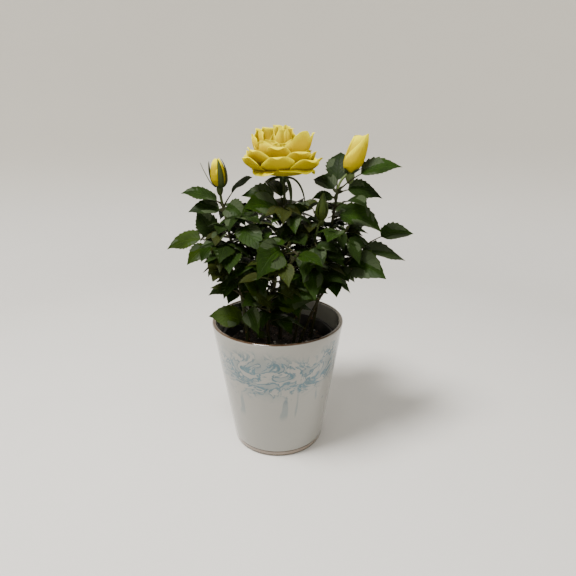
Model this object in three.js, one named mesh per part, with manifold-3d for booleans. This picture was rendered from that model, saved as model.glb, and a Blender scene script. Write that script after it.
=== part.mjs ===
// A miniature rose in a glazed pot: a nursery pot of soil stands in a ceramic outer pot, and nine canes rise
// from the soil. Each cane carries one mass of foliage, and four of them end in a flower or a bud.
// Millimetres, +Z up. The origin is the centre of the pot's flat underside and the front faces -Y.

import * as THREE from "three";
import { mergeVertices } from "three/addons/utils/BufferGeometryUtils.js";
import Module from "manifold-3d";

const wasm = await Module();
wasm.setup();

// ---------------------------------------------------------------------------------------------------------
// Driving dimensions
// ---------------------------------------------------------------------------------------------------------

const GAP = 0.3; // clear space between pieces that meet

const POT = { height: 123, rimRadius: 61, footRadius: 44, wall: 3.6, floor: 7, lip: 1.2, cove: 4, sides: 36 };
const NURSERY = {
  height: 99, rimRadius: 52, footRadius: 37, wall: 1.2, collar: 1.6, collarHeight: 7, sides: 30,
};
const SOIL_TOP = 98; // height of the soil over the underside of the pot
const SOIL_GROOVE = { depth: 3, width: 5 }; // the soil is lower where it meets the nursery pot

const CANE_SIDES = 6;
const STALK_SIDES = 5;
const STEP = 13; // length of one straight stretch of a cane

const LEAF = {
  width: 0.3, // half the blade's width over its length
  fold: 0.1, // how far the edges rise over the midrib, over the half width
  keel: 0.45, // how far the midrib stands out under the blade
  stagger: 0.9, // half the offset between the two side leaflets of a pair, along the leaf's axis
  sunk: 0.35, // how far a leaflet's root goes into the stalk that bears it
  spread: THREE.MathUtils.degToRad(62), // angle between a side leaflet and the leaf's axis
  droop: 0.28, // how far a side leaflet's tip hangs, over its length
  stalk: 0.72, // radius of a leaf stalk at its foot
  stalkTaper: 0.3, // the share of that radius which the stalk loses on the way to the blade
  stations: [0.3, 0.68], // where along the blade its width is set
  archAt: 0.45, // how far out the axis is pulled up, over the leaf's reach
  archRise: 0.6, // how high it is pulled up: this share of the leaf's rise and the next one of its reach
  archReach: 0.24,
  leastStalk: 0.14, // the least share of the axis that is bare stalk
  bareFoot: 0.22, // no side leaflets grow below this share of the axis
  firstPair: 0.03, // the first pair stands this share of the axis below the end leaflet
  pairStep: 0.55, // distance between two pairs, over the length of the end leaflet
  sideSize: 0.82, // length of the first side leaflets over that of the end leaflet
  sideStep: 0.12, // how much less each further pair has
};

// What a leaf keeps clear of: the radius given to each sample point of a blade, a stalk and a limb, and the
// distances kept over the pot's rim, from the nursery pot's wall and over the soil.
const CLEAR = {
  blade: 2.5, stalk: 1.2, limb: 1.3, own: 0.75, root: 7, cell: 10, spacing: 4,
  overRim: 2, fromWall: 5, overSoil: 6,
};

// Where the sample points lie: along a blade's midrib, near its edges, and along a stalk.
const SAMPLED = {
  midrib: [0.2, 0.45, 0.7, 0.96], sides: [0.3, 0.62], outward: 0.75, stalk: [0.35, 0.6, 0.85],
};

// The dome that the foliage fills by rule; chosen leaves reach past it.
const DOME = { centre: [4, 0, 186], radii: [82, 74, 50], lowest: 141 };

const GOLDEN_TURN = 137.5; // degrees between one leaf and the next round a stem

// The leaves that grow by rule: their spacing along the stem, and the ranges that sizes are drawn from.
const RULE = {
  spacing: 6, bare: 0.04, end: 0.97, pairs: 2,
  stray: 14, reach: [38, 50], rise: [-20, 6], size: [24, 31], roll: 18,
};
// A leaf that has no room is tried again, turned by some degrees and shorter.
const TRIALS = [[0, 1], [24, 0.9], [-24, 0.9], [48, 0.8], [-48, 0.8], [90, 0.7], [-90, 0.7]];

// A side twig: its length, and how far out and up its tip and its bend lie over that length.
const TWIG = {
  length: [26, 34], tip: [0.8, 0.6], bend: [0.5, 0.15], radii: [0.95, 0.65], sides: 4,
  fan: 60, clearFrom: 0.3, leafy: [0.45, 0.98], spacing: 12, vigour: 0.85,
};

// Each shoot starts at its foot on the soil, passes its middle point and ends at its tip. Foliage begins at the
// share "leafy" of the way. A row of "leaves" is one chosen leaf: the share of the way where it leaves the
// stem, its bearing in degrees, how far and how high its tip reaches from there, the length of its end
// leaflet, its pairs of side leaflets and the roll of its blade in degrees.
const SHOOTS = [
  {
    name: "left", foot: [-25, -28], middle: [-31, -25, 160], tip: [-46, -6, 229],
    radius: [2.0, 1.1], leafy: 0.2, phase: 40, twigs: [0.52],
    leaves: [
      [0.985, 179, 35, 10, 33, 0, 14], [0.95, 194, 30, 1, 36, 0, 34], [0.975, 30, 28, 24, 27, 0, 30],
      [0.965, 318, 27, -11, 36, 0, -40], [0.86, 309, 48, -12, 31, 0, -15], [0.6, 238, 16, -9, 25, 0, 10],
      [0.24, 176, 33, 7, 38, 0, 55],
    ],
  },
  {
    name: "far_left", foot: [-15, 2], middle: [-32, -3, 151], tip: [-54, -8, 196],
    radius: [1.6, 0.9], leafy: 0.45, phase: 100, twigs: [0.6],
    leaves: [
      [0.98, 176, 44, -6, 33, 0, 40], [0.93, 218, 31, -10, 23, 0, 42], [0.86, 254, 29, -9, 31, 0, 30],
      [0.97, 151, 20, 27, 35, 0, 50], [0.5, 197, 31, -3, 25, 2, 18], [0.8, 120, 42, 6, 28, 2, 0],
    ],
  },
  {
    name: "front", foot: [-6, -24], middle: [-6, -36, 152], tip: [11, -44, 204],
    radius: [1.5, 0.8], leafy: 0.14, phase: 31, twigs: [0.42, 0.6, 0.78],
    leaves: [
      [0.92, 239, 39, -13, 39, 0, 50], [0.45, 211, 33, 35, 37, 0, 42], [0.55, 331, 43, 4, 38, 0, -46],
      [0.4, 249, 13, -11, 26, 0, 10], [0.16, 230, 15, 4, 13, 0, 30],
    ],
  },
  {
    name: "bloom", foot: [2, 2], middle: [4, -5, 165], tip: [6.5, -7, 232],
    radius: [1.8, 1.15], leafy: 0.5, phase: 75, twigs: [0.6, 0.72],
    leaves: [
      [0.95, 172, 37, 9, 30, 0, 42], [0.91, 218, 40, 8, 42, 0, 42], [0.9, 347, 22, 5, 26, 0, -36],
      [0.965, 118, 31, 19, 31, 0, 0], [0.93, 118, 30, 6, 27, 0, 0], [0.92, 62, 36, 4, 27, 1, 0],
    ],
  },
  {
    name: "green_bud", foot: [13, -20], middle: [23, -24, 152], tip: [32, -25, 203],
    radius: [1.4, 0.9], leafy: 0.45, phase: 150, twigs: [0.55, 0.72],
    leaves: [[0.92, 255, 36, -18, 31, 0, 0], [0.7, 316, 36, -1, 30, 1, -30]],
  },
  {
    name: "right", foot: [31, 6], middle: [41, 0, 165], tip: [51, -9, 241],
    radius: [1.7, 1.0], leafy: 0.47, phase: 10, twigs: [0.56, 0.7],
    leaves: [
      [0.985, -8, 51, 20, 36, 0, -32], [0.975, 358, 38, -4, 31, 0, -42], [0.9, 301, 41, 5, 27, 0, -20],
      [0.93, 77, 26, 40, 33, 0, 0], [0.975, 133, 28, 10, 27, 0, 26], [0.945, 191, 21, 1, 27, 0, 34],
      [0.84, 354, 42, -11, 42, 0, -34], [0.8, 45, 44, 4, 30, 2, 0],
    ],
  },
  {
    name: "far_right", foot: [20, -8], middle: [41, -9, 150], tip: [70, -8, 187],
    radius: [1.5, 0.85], leafy: 0.5, phase: 60, twigs: [0.6, 0.75],
    leaves: [
      [0.97, 15, 56, 15, 34, 0, -28], [0.9, 5, 51, -3, 42, 0, -12], [0.8, 313, 46, -1, 41, 0, -55],
      [0.6, 3, 20, -10, 20, 1, -20],
    ],
  },
  {
    name: "back_left", foot: [-12, 25], middle: [-20, 38, 155], tip: [-30, 46, 214],
    radius: [1.6, 0.9], leafy: 0.42, phase: 130, twigs: [0.56, 0.74],
    leaves: [[0.97, 150, 38, 6, 30, 1, 0], [0.96, 60, 36, 8, 28, 1, 0], [0.75, 105, 42, 0, 30, 2, 0]],
  },
  {
    name: "back_right", foot: [15, 27], middle: [24, 38, 155], tip: [38, 45, 216],
    radius: [1.6, 0.9], leafy: 0.42, phase: 200, twigs: [0.56, 0.74],
    leaves: [[0.97, 30, 42, 4, 30, 1, 0], [0.96, 110, 36, 8, 28, 1, 0], [0.75, 70, 42, 0, 30, 2, 0]],
  },
];

// Each whorl of petals: how many, the first one's bearing in degrees, where a petal ends and the point that its
// curve bends round (radius, height over the base), half its greatest width, and how far it is cupped across.
const BLOOM = {
  base: [5.5, -5, 251], // where the petals are rooted
  thickness: 1.1,
  whorls: [
    { petals: 5, first: -62, end: [29, 4], control: [15, 9], halfWidth: 16, cup: 0.1 },
    { petals: 7, first: -100, end: [31, 14], control: [22, 0], halfWidth: 15, cup: 0.2 },
    { petals: 6, first: -72, end: [27, 19], control: [21, 3], halfWidth: 14, cup: 0.25 },
    { petals: 5, first: -90, end: [21, 23], control: [18, 6], halfWidth: 12, cup: 0.3 },
    { petals: 2, first: -42, turn: 36, end: [21, 35], control: [19, 14], halfWidth: 10, cup: 0.25 },
  ],
  stray: 5, // how far a petal strays from its bearing, in degrees
  uneven: 1.2, // how far the heights of the petals' ends differ
  heart: { centre: [-7, 0], radius: 17, height: 40.5, pleats: 7, depth: 0.16 }, // the close inner petals
  heartRings: [[0, 0.45], [0.4, 1], [0.75, 1.05], [1, 0.55], [0.93, 0.3]], // height share, radius share
  heartHollow: 0.72, // height share of the crown's hollow
  cup: 4, // radius of the green cup under the petals
  sepalFoot: 2, // how far below the base the sepals begin
  sepals: [
    { bearing: -50, end: [10, -22], control: [9, -1] }, { bearing: 2, end: [19, -24], control: [15, 3] },
    { bearing: 75, end: [17, -3], control: [8, 1] }, { bearing: 150, end: [17, -3], control: [8, 1] },
    { bearing: 215, end: [16, -4], control: [8, 1] },
  ],
  sepalWidth: 2, // half of it
};

// The room that the bloom takes under its petals: rings of sample points, and points along each sepal.
const BLOOM_ROOM = {
  rings: [0, 10, 20, 30], turn: 30, height: 5, radius: 5, sepal: [0.4, 0.6, 0.8, 1], sepalRadius: 1.6,
};

// Each bud: where its flower begins, its tip, its greatest radius, and where its sepals end (radius, height).
const BUDS = [
  { name: "bud_right", shoot: "right", base: [61, -6, 254], tip: [69, -6, 284], radius: 9, sepalEnd: [8, -5] },
  {
    name: "bud_left", shoot: "left", base: [-47.5, -5, 243], tip: [-49, -5, 265.5], radius: 6.8,
    sepalEnd: [13, 19],
  },
  {
    name: "bud_green", shoot: "green_bud", base: [36.5, -25, 219], tip: [37.5, -25, 239], radius: 5,
    sepalEnd: [3, 17],
  },
];
// A bud's outline: height share, radius share.
const BUD_PROFILE = [[0.0, 0.45], [0.22, 0.92], [0.45, 1.0], [0.7, 0.8], [0.9, 0.42]];
const BUD_SIDES = 8;
// The sepals of a bud: half their width and the bend of their curve are given over the bud's radius.
const BUD_SEPALS = { count: 5, first: -60, width: 0.32, belly: 1.4, foot: 1 };
const BUD_CUP = 0.45; // radius of the green cup over the bud's radius
const SEPAL_THICKNESS = 0.7;
const PETAL_ROOT = 0.15; // where a petal's free blade begins, as a share of its length

// A petal's outline: it starts this far from the bloom's middle, its tip is rounded off by this share, and its
// width swells with this power of the length and falls by this share, all of it near the tip.
const PETAL = { start: 0.5, rounding: 0.1, swelling: 0.85, narrowing: 0.3, narrowingPower: 5 };

const COLOURS = {
  glaze: 0xe8e6e0, plastic: 0x1b1a19, soil: 0x2a211b, bark: 0x5d6b34, leaf: 0x3f5f2b,
  petal: 0xf2dc5a, bud: 0xeed24a, greenBud: 0xa3ad45,
};

// ---------------------------------------------------------------------------------------------------------
// Small helpers
// ---------------------------------------------------------------------------------------------------------

const UP = new THREE.Vector3(0, 0, 1);
const vector = (list) => new THREE.Vector3(...list);
const degrees = THREE.MathUtils.degToRad;
const toward = (bearing) => new THREE.Vector3(Math.cos(degrees(bearing)), Math.sin(degrees(bearing)), 0);

// A stream of numbers from 0 to 1 that is the same each time for one seed.
function dice(seed) {
  let state = (seed * 7919 + 12345) % 4294967296;
  return (low = 0, high = 1) => {
    state = (1664525 * state + 1013904223) % 4294967296;
    return low + ((high - low) * state) / 4294967296;
  };
}

// A curve of three points: it leaves start toward control and arrives at end from control.
function bend(start, control, end) {
  const point = (s) =>
    start.clone().multiplyScalar((1 - s) * (1 - s))
      .addScaledVector(control, 2 * s * (1 - s))
      .addScaledVector(end, s * s);
  const heading = (s) =>
    control.clone().sub(start).multiplyScalar(1 - s)
      .addScaledVector(end.clone().sub(control), s)
      .normalize();
  const length = (start.distanceTo(control) + control.distanceTo(end) + start.distanceTo(end)) / 2;
  return { point, heading, length };
}

// A closed solid through rings of points. Each end is a flat cap, or a point where one is given.
function loft(rings, endPoint = null, startPoint = null) {
  const sides = rings[0].length;
  const points = rings.flat();
  const faces = [];
  for (let ring = 0; ring + 1 < rings.length; ring++) {
    for (let i = 0; i < sides; i++) {
      const a = ring * sides + i;
      const b = ring * sides + ((i + 1) % sides);
      faces.push(a, b, b + sides, a, b + sides, a + sides);
    }
  }
  const last = (rings.length - 1) * sides;
  const next = (i) => (i + 1) % sides;
  for (let i = 1; i + 1 < sides; i++) {
    if (!startPoint) faces.push(0, i + 1, i);
    if (!endPoint) faces.push(last, last + i, last + i + 1);
  }
  if (endPoint) {
    points.push(endPoint);
    for (let i = 0; i < sides; i++) faces.push(last + i, last + next(i), points.length - 1);
  }
  if (startPoint) {
    points.push(startPoint);
    for (let i = 0; i < sides; i++) faces.push(next(i), i, points.length - 1);
  }
  return solid(points, faces);
}

function solid(points, faces) {
  const geometry = new THREE.BufferGeometry().setFromPoints(points);
  geometry.setIndex(faces);
  return toManifold(geometry);
}

// A geometry as a solid for joining; a mesh that is inside out is turned.
function toManifold(geometry) {
  geometry.deleteAttribute("normal");
  geometry.deleteAttribute("uv");
  const merged = mergeVertices(geometry, 1e-5);
  const position = merged.attributes.position;
  const index = merged.index.array;
  const corner = (i) => new THREE.Vector3().fromBufferAttribute(position, index[i]);
  let volume = 0;
  for (let i = 0; i < index.length; i += 3) volume += corner(i).dot(corner(i + 1).cross(corner(i + 2)));
  const triVerts = new Uint32Array(index);
  if (volume < 0) {
    for (let i = 0; i < triVerts.length; i += 3) {
      [triVerts[i], triVerts[i + 1]] = [triVerts[i + 1], triVerts[i]];
    }
  }
  const vertProperties = new Float32Array(position.array);
  return new wasm.Manifold(new wasm.Mesh({ numProp: 3, vertProperties, triVerts }));
}

// Joins solids to one. Only its largest shell is kept, which drops loose scraps and fills sealed hollows.
function fuse(solids) {
  const shells = wasm.Manifold.union(solids).decompose();
  const largest = shells.reduce((best, shell) => (shell.volume() > best.volume() ? shell : best));
  const mesh = largest.getMesh();
  const geometry = new THREE.BufferGeometry();
  geometry.setAttribute("position", new THREE.BufferAttribute(new Float32Array(mesh.vertProperties), 3));
  geometry.setIndex(new THREE.BufferAttribute(new Uint32Array(mesh.triVerts), 1));
  return geometry;
}

// ---------------------------------------------------------------------------------------------------------
// Room for the foliage: sample points of all that has grown so far, sorted into cells
// ---------------------------------------------------------------------------------------------------------

const room = new Map();
const cellOf = (value) => Math.floor(value / CLEAR.cell);

function occupy(samples, owner) {
  for (const { at, radius } of samples) {
    const key = `${cellOf(at.x)},${cellOf(at.y)},${cellOf(at.z)}`;
    if (!room.has(key)) room.set(key, []);
    room.get(key).push({ at, radius, owner });
  }
}

// Whether the sample points stay over the soil and the rim, and clear of what has grown there before. What is
// close round the root is let be, because that is the stem which bears the piece.
function isFree(samples, owner, root) {
  return samples.every(({ at, radius }) => {
    const fromAxis = Math.hypot(at.x, at.y);
    const missesPot = at.z > POT.height + CLEAR.overRim || fromAxis < NURSERY.rimRadius - CLEAR.fromWall;
    return at.z > SOIL_TOP + CLEAR.overSoil && missesPot && !meets(at, radius, owner, root);
  });
}

function meets(at, radius, owner, root) {
  for (let dx = -1; dx <= 1; dx++) {
    for (let dy = -1; dy <= 1; dy++) {
      for (let dz = -1; dz <= 1; dz++) {
        const key = `${cellOf(at.x) + dx},${cellOf(at.y) + dy},${cellOf(at.z) + dz}`;
        for (const other of room.get(key) ?? []) {
          const share = other.owner === owner ? CLEAR.own : 1;
          const isClose = at.distanceTo(other.at) < (radius + other.radius) * share;
          if (isClose && other.at.distanceTo(root) > CLEAR.root) return true;
        }
      }
    }
  }
  return false;
}

// ---------------------------------------------------------------------------------------------------------
// Limbs
// ---------------------------------------------------------------------------------------------------------

// The axis of a shoot: one curve from the soil through its middle point to its tip.
function shootAxis({ foot, middle, tip }) {
  const start = new THREE.Vector3(foot[0], foot[1], SOIL_TOP + GAP);
  const end = vector(tip);
  const control = vector(middle).multiplyScalar(2).addScaledVector(start, -0.5).addScaledVector(end, -0.5);
  return bend(start, control, end);
}

// A tapering limb along an axis, between two shares of its length, with the radius at each end of the axis.
function limb(axis, from, to, radii, sides, isRooted = false) {
  const stretches = Math.max(2, Math.ceil(((to - from) * axis.length) / STEP));
  const rings = [];
  for (let i = 0; i <= stretches; i++) {
    const s = from + ((to - from) * i) / stretches;
    const heading = isRooted && i === 0 ? UP : axis.heading(s);
    const across = new THREE.Vector3(1, 0, 0).cross(heading).normalize();
    const radius = radii[0] + (radii[1] - radii[0]) * s;
    rings.push(ringAround(axis.point(s), across, across.clone().cross(heading), radius, sides));
  }
  return loft(rings);
}

function ringAround(centre, across, along, radius, sides) {
  return Array.from({ length: sides }, (_, i) => {
    const angle = (2 * Math.PI * i) / sides;
    return centre.clone()
      .addScaledVector(across, radius * Math.cos(angle))
      .addScaledVector(along, radius * Math.sin(angle));
  });
}

function limbSamples(axis, from, to, radii) {
  const count = Math.ceil(((to - from) * axis.length) / CLEAR.spacing);
  return Array.from({ length: count + 1 }, (_, i) => {
    const s = from + ((to - from) * i) / count;
    return { at: axis.point(s), radius: radii[0] + (radii[1] - radii[0]) * s + CLEAR.limb };
  });
}

// ---------------------------------------------------------------------------------------------------------
// Leaves
// ---------------------------------------------------------------------------------------------------------

// The blade's half width over its greatest half width, from its root at 0 to its tip at 1.
const bladeOutline = (f) => Math.pow(Math.sin(Math.PI * Math.pow(f, 0.8)), 0.75);

// The leaf's frame at a share of its axis: where it is, its heading, its side and the way that its face looks.
function frameOf(axis, s, roll) {
  const heading = axis.heading(s);
  const level = heading.clone().cross(UP).normalize();
  const face = level.clone().cross(heading);
  const side = level.clone().multiplyScalar(Math.cos(roll)).addScaledVector(face, Math.sin(roll));
  return { at: axis.point(s), heading, side, face: side.clone().cross(heading) };
}

// A leaf of one end leaflet and some pairs of side leaflets. Its axis rises from the stem, arches over and
// ends at the tip of the end leaflet.
function planLeaf(root, [bearing, reach, rise, size, pairs, roll]) {
  const outward = toward(bearing);
  const tip = root.clone().addScaledVector(outward, reach).addScaledVector(UP, rise);
  const top = Math.max(rise, 0) * LEAF.archRise + reach * LEAF.archReach;
  const control = root.clone().addScaledVector(outward, reach * LEAF.archAt).addScaledVector(UP, top);
  const axis = bend(root, control, tip);
  const bladeFrom = Math.max(LEAF.leastStalk, 1 - size / axis.length);
  const turn = degrees(roll);
  const leaflets = [
    {
      length: axis.length * (1 - bladeFrom),
      frame: (f) => frameOf(axis, bladeFrom + (1 - bladeFrom) * f, turn),
    },
  ];
  for (let pair = 0; pair < pairs; pair++) {
    const from = bladeFrom - LEAF.firstPair - (pair * size * LEAF.pairStep) / axis.length;
    if (from < LEAF.bareFoot) break;
    for (const hand of [1, -1]) {
      const s = from + (hand * LEAF.stagger) / axis.length;
      leaflets.push(sideLeaflet(frameOf(axis, s, turn), hand, size * (LEAF.sideSize - LEAF.sideStep * pair)));
    }
  }
  return { axis, bladeFrom, leaflets };
}

// A side leaflet: its midrib starts at the leaf's axis, spreads to one side and hangs down toward its tip.
function sideLeaflet(base, hand, length) {
  const spread = base.heading.clone().multiplyScalar(Math.cos(LEAF.spread))
    .addScaledVector(base.side, hand * Math.sin(LEAF.spread));
  const frame = (f) => {
    const at = base.at.clone().addScaledVector(spread, length * f);
    at.z -= LEAF.droop * length * f * f;
    const heading = spread.clone().addScaledVector(UP, -2 * LEAF.droop * f).normalize();
    const side = heading.clone().cross(base.face).normalize();
    return { at, heading, side, face: side.clone().cross(heading) };
  };
  return { length, frame };
}

// The corners of the blade's cross-section: its two edges, and the midrib that stands out under it.
function bladeRing(leaflet, f) {
  const { at, side, face } = leaflet.frame(f);
  const halfWidth = leaflet.length * LEAF.width * bladeOutline(f);
  const edge = (hand) =>
    at.clone().addScaledVector(side, hand * halfWidth).addScaledVector(face, halfWidth * LEAF.fold);
  return [edge(1), edge(-1), at.clone().addScaledVector(face, -LEAF.keel)];
}

// A side leaflet comes to a point at both ends; its root is sunk through the stalk that bears it.
function sideSolid(leaflet) {
  const { at, heading } = leaflet.frame(0);
  const root = at.clone().addScaledVector(heading, -LEAF.sunk);
  return loft(LEAF.stations.map((f) => bladeRing(leaflet, f)), leaflet.frame(1).at, root);
}

// The stalk of a leaf and its end leaflet as one three-sided piece, from inside the stem to the leaf's tip.
function stalkSolid({ axis, bladeFrom, leaflets: [end] }) {
  const rings = [0, 0.5, 1].map((share) => {
    const { at, side, face } = end.frame(((share - 1) * bladeFrom) / (1 - bladeFrom));
    const radius = LEAF.stalk * (1 - LEAF.stalkTaper * share);
    const corner = (angle) =>
      at.clone()
        .addScaledVector(side, radius * Math.cos(angle))
        .addScaledVector(face, radius * Math.sin(angle));
    return [corner(Math.PI / 6), corner((5 * Math.PI) / 6), corner((3 * Math.PI) / 2)];
  });
  rings.push(...LEAF.stations.map((f) => bladeRing(end, f)));
  return loft(rings, axis.point(1));
}

function bladeSamples(leaflet) {
  const samples = SAMPLED.midrib.map((f) => ({ at: leaflet.frame(f).at, radius: CLEAR.blade }));
  for (const f of SAMPLED.sides) {
    const { at, side } = leaflet.frame(f);
    const offset = leaflet.length * LEAF.width * bladeOutline(f) * SAMPLED.outward;
    for (const hand of [1, -1]) {
      samples.push({ at: at.clone().addScaledVector(side, hand * offset), radius: CLEAR.blade });
    }
  }
  return samples;
}

// Grows a leaf where there is room for it: the whole leaf goes when its end leaflet doesn't fit.
function growLeaf(mass, root, numbers, isChosen) {
  const leaf = planLeaf(root, numbers);
  const [end, ...others] = leaf.leaflets;
  const stalk = SAMPLED.stalk.map((share) => (
    { at: leaf.axis.point(leaf.bladeFrom * share), radius: CLEAR.stalk }
  ));
  const fits = (samples) =>
    isFree(samples, mass.name, root) && (isChosen || samples.every(({ at }) => isInDome(at)));
  if (!fits(bladeSamples(end)) || !fits(stalk)) return false;
  const sides = others.filter((leaflet) => fits(bladeSamples(leaflet)));
  mass.solids.push(stalkSolid(leaf), ...sides.map(sideSolid));
  occupy([...stalk, ...[end, ...sides].flatMap(bladeSamples)], mass.name);
  return true;
}

function isInDome(at) {
  const reach = DOME.radii.reduce((sum, radius, i) => {
    const offset = (at.getComponent(i) - DOME.centre[i]) / radius;
    return sum + offset * offset;
  }, 0);
  return reach < 1 && at.z > DOME.lowest;
}

// ---------------------------------------------------------------------------------------------------------
// Flowers
// ---------------------------------------------------------------------------------------------------------

// A petal or a sepal: a blade that bends out of the flower's axis, cupped across, at one bearing.
function petalPoint(base, bearing, { end, control, halfWidth, cup }, u, v) {
  const outward = toward(bearing);
  const sideways = toward(bearing + 90);
  const [from, over, to] = [[PETAL.start, 0], control, end].map(([x, z]) => new THREE.Vector3(x, 0, z));
  const middle = bend(from, over, to);
  const share = v * (1 - PETAL.rounding * u * u);
  const { x: radius, z: height } = middle.point(share);
  const heading = middle.heading(share);
  const narrowed = 1 - PETAL.narrowing * Math.pow(share, PETAL.narrowingPower);
  const half = halfWidth * Math.pow(share, PETAL.swelling) * narrowed;
  const inward = cup * half * u * u;
  const at = vector(base)
    .addScaledVector(outward, radius - inward * heading.z)
    .addScaledVector(sideways, u * half)
    .addScaledVector(UP, height + inward * heading.x);
  const face = outward.clone().multiplyScalar(-heading.z).addScaledVector(UP, heading.x);
  return { at, face };
}

function petalSolid(base, bearing, whorl, across, along, thickness) {
  const points = [];
  for (const hand of [1, -1]) {
    for (let j = 0; j <= along; j++) {
      for (let i = 0; i <= across; i++) {
        const v = PETAL_ROOT + ((1 - PETAL_ROOT) * j) / along;
        const { at, face } = petalPoint(base, bearing, whorl, (2 * i) / across - 1, v);
        points.push(at.addScaledVector(face, (hand * thickness) / 2));
      }
    }
  }
  const row = across + 1;
  const back = row * (along + 1);
  const faces = [];
  const quad = (a, b, c, d) => faces.push(a, b, c, a, c, d);
  for (let j = 0; j < along; j++) {
    for (let i = 0; i < across; i++) {
      const a = j * row + i;
      quad(a, a + 1, a + row + 1, a + row);
      quad(back + a, back + a + row, back + a + row + 1, back + a + 1);
    }
    const left = j * row;
    const right = left + across;
    quad(left, left + row, back + left + row, back + left);
    quad(right, back + right, back + right + row, right + row);
  }
  const top = along * row;
  for (let i = 0; i < across; i++) {
    quad(i, back + i, back + i + 1, i + 1);
    quad(top + i, top + i + 1, back + top + i + 1, back + top + i);
  }
  return solid(points, faces);
}

// The green cup under a flower, on the top of its stalk.
function receptacle(base, radius) {
  const ball = new THREE.SphereGeometry(radius, 6, 4);
  ball.scale(1, 1, 1.25);
  ball.rotateX(Math.PI / 2);
  ball.translate(base[0], base[1], base[2] - radius * 0.7);
  return toManifold(ball);
}

// The stalk of a flower goes on from the tip of its shoot, past the clear gap, to the flower's base.
function flowerStalk(shoot, base, radius) {
  const axis = shootAxis(shoot);
  const start = axis.point(1).addScaledVector(axis.heading(1), GAP);
  const end = vector(base);
  const control = start.clone().addScaledVector(axis.heading(1), start.distanceTo(end) / 2);
  return { axis: bend(start, control, end), radii: [radius, radius * 0.95] };
}

// The close petals in the middle of the bloom, as one pleated cup with a hollow crown.
function bloomHeart() {
  const { heart, heartRings, heartHollow } = BLOOM;
  const { centre, radius, height, pleats, depth } = heart;
  const foot = vector(BLOOM.base).add(new THREE.Vector3(centre[0] * 0.3, centre[1], 0));
  const top = vector(BLOOM.base).add(new THREE.Vector3(centre[0], centre[1], height));
  const ring = (share, size) => {
    const middle = foot.clone().lerp(top, share);
    return Array.from({ length: 2 * pleats }, (_, i) => {
      const pleat = 1 + depth * share * (i % 2 === 0 ? 1 : -1);
      return middle.clone().addScaledVector(toward((180 * i) / pleats), size * radius * pleat);
    });
  };
  return loft(heartRings.map(([share, size]) => ring(share, size)), foot.clone().lerp(top, heartHollow));
}

function makeBloom(shoot) {
  const { base, whorls, thickness, stray, uneven } = BLOOM;
  const stalk = flowerStalk(shoot, base, shoot.radius[1]);
  const solids = [limb(stalk.axis, 0, 1, stalk.radii, STALK_SIDES), receptacle(base, BLOOM.cup)];
  const foot = [base[0], base[1], base[2] - BLOOM.sepalFoot];
  const sepals = BLOOM.sepals.map((sepal) => ({ ...sepal, halfWidth: BLOOM.sepalWidth, cup: 0 }));
  for (const sepal of sepals) solids.push(petalSolid(foot, sepal.bearing, sepal, 1, 3, SEPAL_THICKNESS));
  const throws = dice(7);
  for (const whorl of whorls) {
    for (let i = 0; i < whorl.petals; i++) {
      const bearing = whorl.first + i * (whorl.turn ?? 360 / whorl.petals) + throws(-stray, stray);
      const end = [whorl.end[0], whorl.end[1] + throws(-uneven, uneven)];
      solids.push(petalSolid(base, bearing, { ...whorl, end }, 2, 3, thickness));
    }
  }
  solids.push(bloomHeart());
  const samples = limbSamples(stalk.axis, 0, 1, stalk.radii);
  for (const reach of BLOOM_ROOM.rings) {
    for (let bearing = 0; bearing < 360; bearing += BLOOM_ROOM.turn) {
      const at = vector(base).addScaledVector(toward(bearing), reach);
      at.z += BLOOM_ROOM.height;
      samples.push({ at, radius: BLOOM_ROOM.radius });
    }
  }
  for (const sepal of sepals) {
    for (const v of BLOOM_ROOM.sepal) {
      samples.push({ at: petalPoint(foot, sepal.bearing, sepal, 0, v).at, radius: BLOOM_ROOM.sepalRadius });
    }
  }
  return { solids, samples };
}

function makeBud(shoot, { base, tip, radius, sepalEnd }) {
  const start = vector(base);
  const lean = vector(tip).sub(start);
  const stalk = flowerStalk(shoot, base, shoot.radius[1]);
  const rings = BUD_PROFILE.map(([height, share]) => {
    const centre = start.clone().addScaledVector(lean, height);
    return ringAround(centre, toward(0), toward(90), radius * share, BUD_SIDES);
  });
  const solids = [
    limb(stalk.axis, 0, 1, stalk.radii, STALK_SIDES),
    receptacle(base, radius * BUD_CUP),
    loft(rings, vector(tip)),
  ];
  const { count, first, width, belly, foot: below } = BUD_SEPALS;
  const foot = [base[0], base[1], base[2] - below];
  const control = [radius * belly, sepalEnd[1] / 4];
  const sepal = { end: sepalEnd, control, halfWidth: radius * width, cup: 0 };
  for (let i = 0; i < count; i++) {
    solids.push(petalSolid(foot, first + (360 * i) / count, sepal, 1, 3, SEPAL_THICKNESS));
  }
  const samples = limbSamples(stalk.axis, 0, 1, stalk.radii);
  for (const [height, share] of BUD_PROFILE) {
    samples.push({ at: start.clone().addScaledVector(lean, height), radius: radius * share });
  }
  return { solids, samples };
}

// ---------------------------------------------------------------------------------------------------------
// Pots and soil
// ---------------------------------------------------------------------------------------------------------

function turned(profile, sides) {
  const points = profile.map(([radius, height]) => new THREE.Vector2(radius, height));
  const geometry = new THREE.LatheGeometry(points, sides);
  geometry.rotateX(Math.PI / 2);
  return fuse([toManifold(geometry)]);
}

// The outer pot: a plain flaring cup, its wall a little thicker at the lip, open at the top.
function potGeometry() {
  const { height, rimRadius, footRadius, wall, floor, lip, cove, sides } = POT;
  const radiusAt = (z) => footRadius + ((rimRadius - footRadius) * z) / height;
  return turned([
    [0, 0], [footRadius - lip, 0], [radiusAt(lip), lip], [radiusAt(height * 0.5), height * 0.5],
    [radiusAt(height - lip), height - lip], [rimRadius - lip, height], [rimRadius - wall + lip, height],
    [rimRadius - wall, height - lip],
    [radiusAt(floor) - wall, floor + cove], [radiusAt(floor) - wall - cove, floor], [0, floor],
  ], sides);
}

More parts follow.
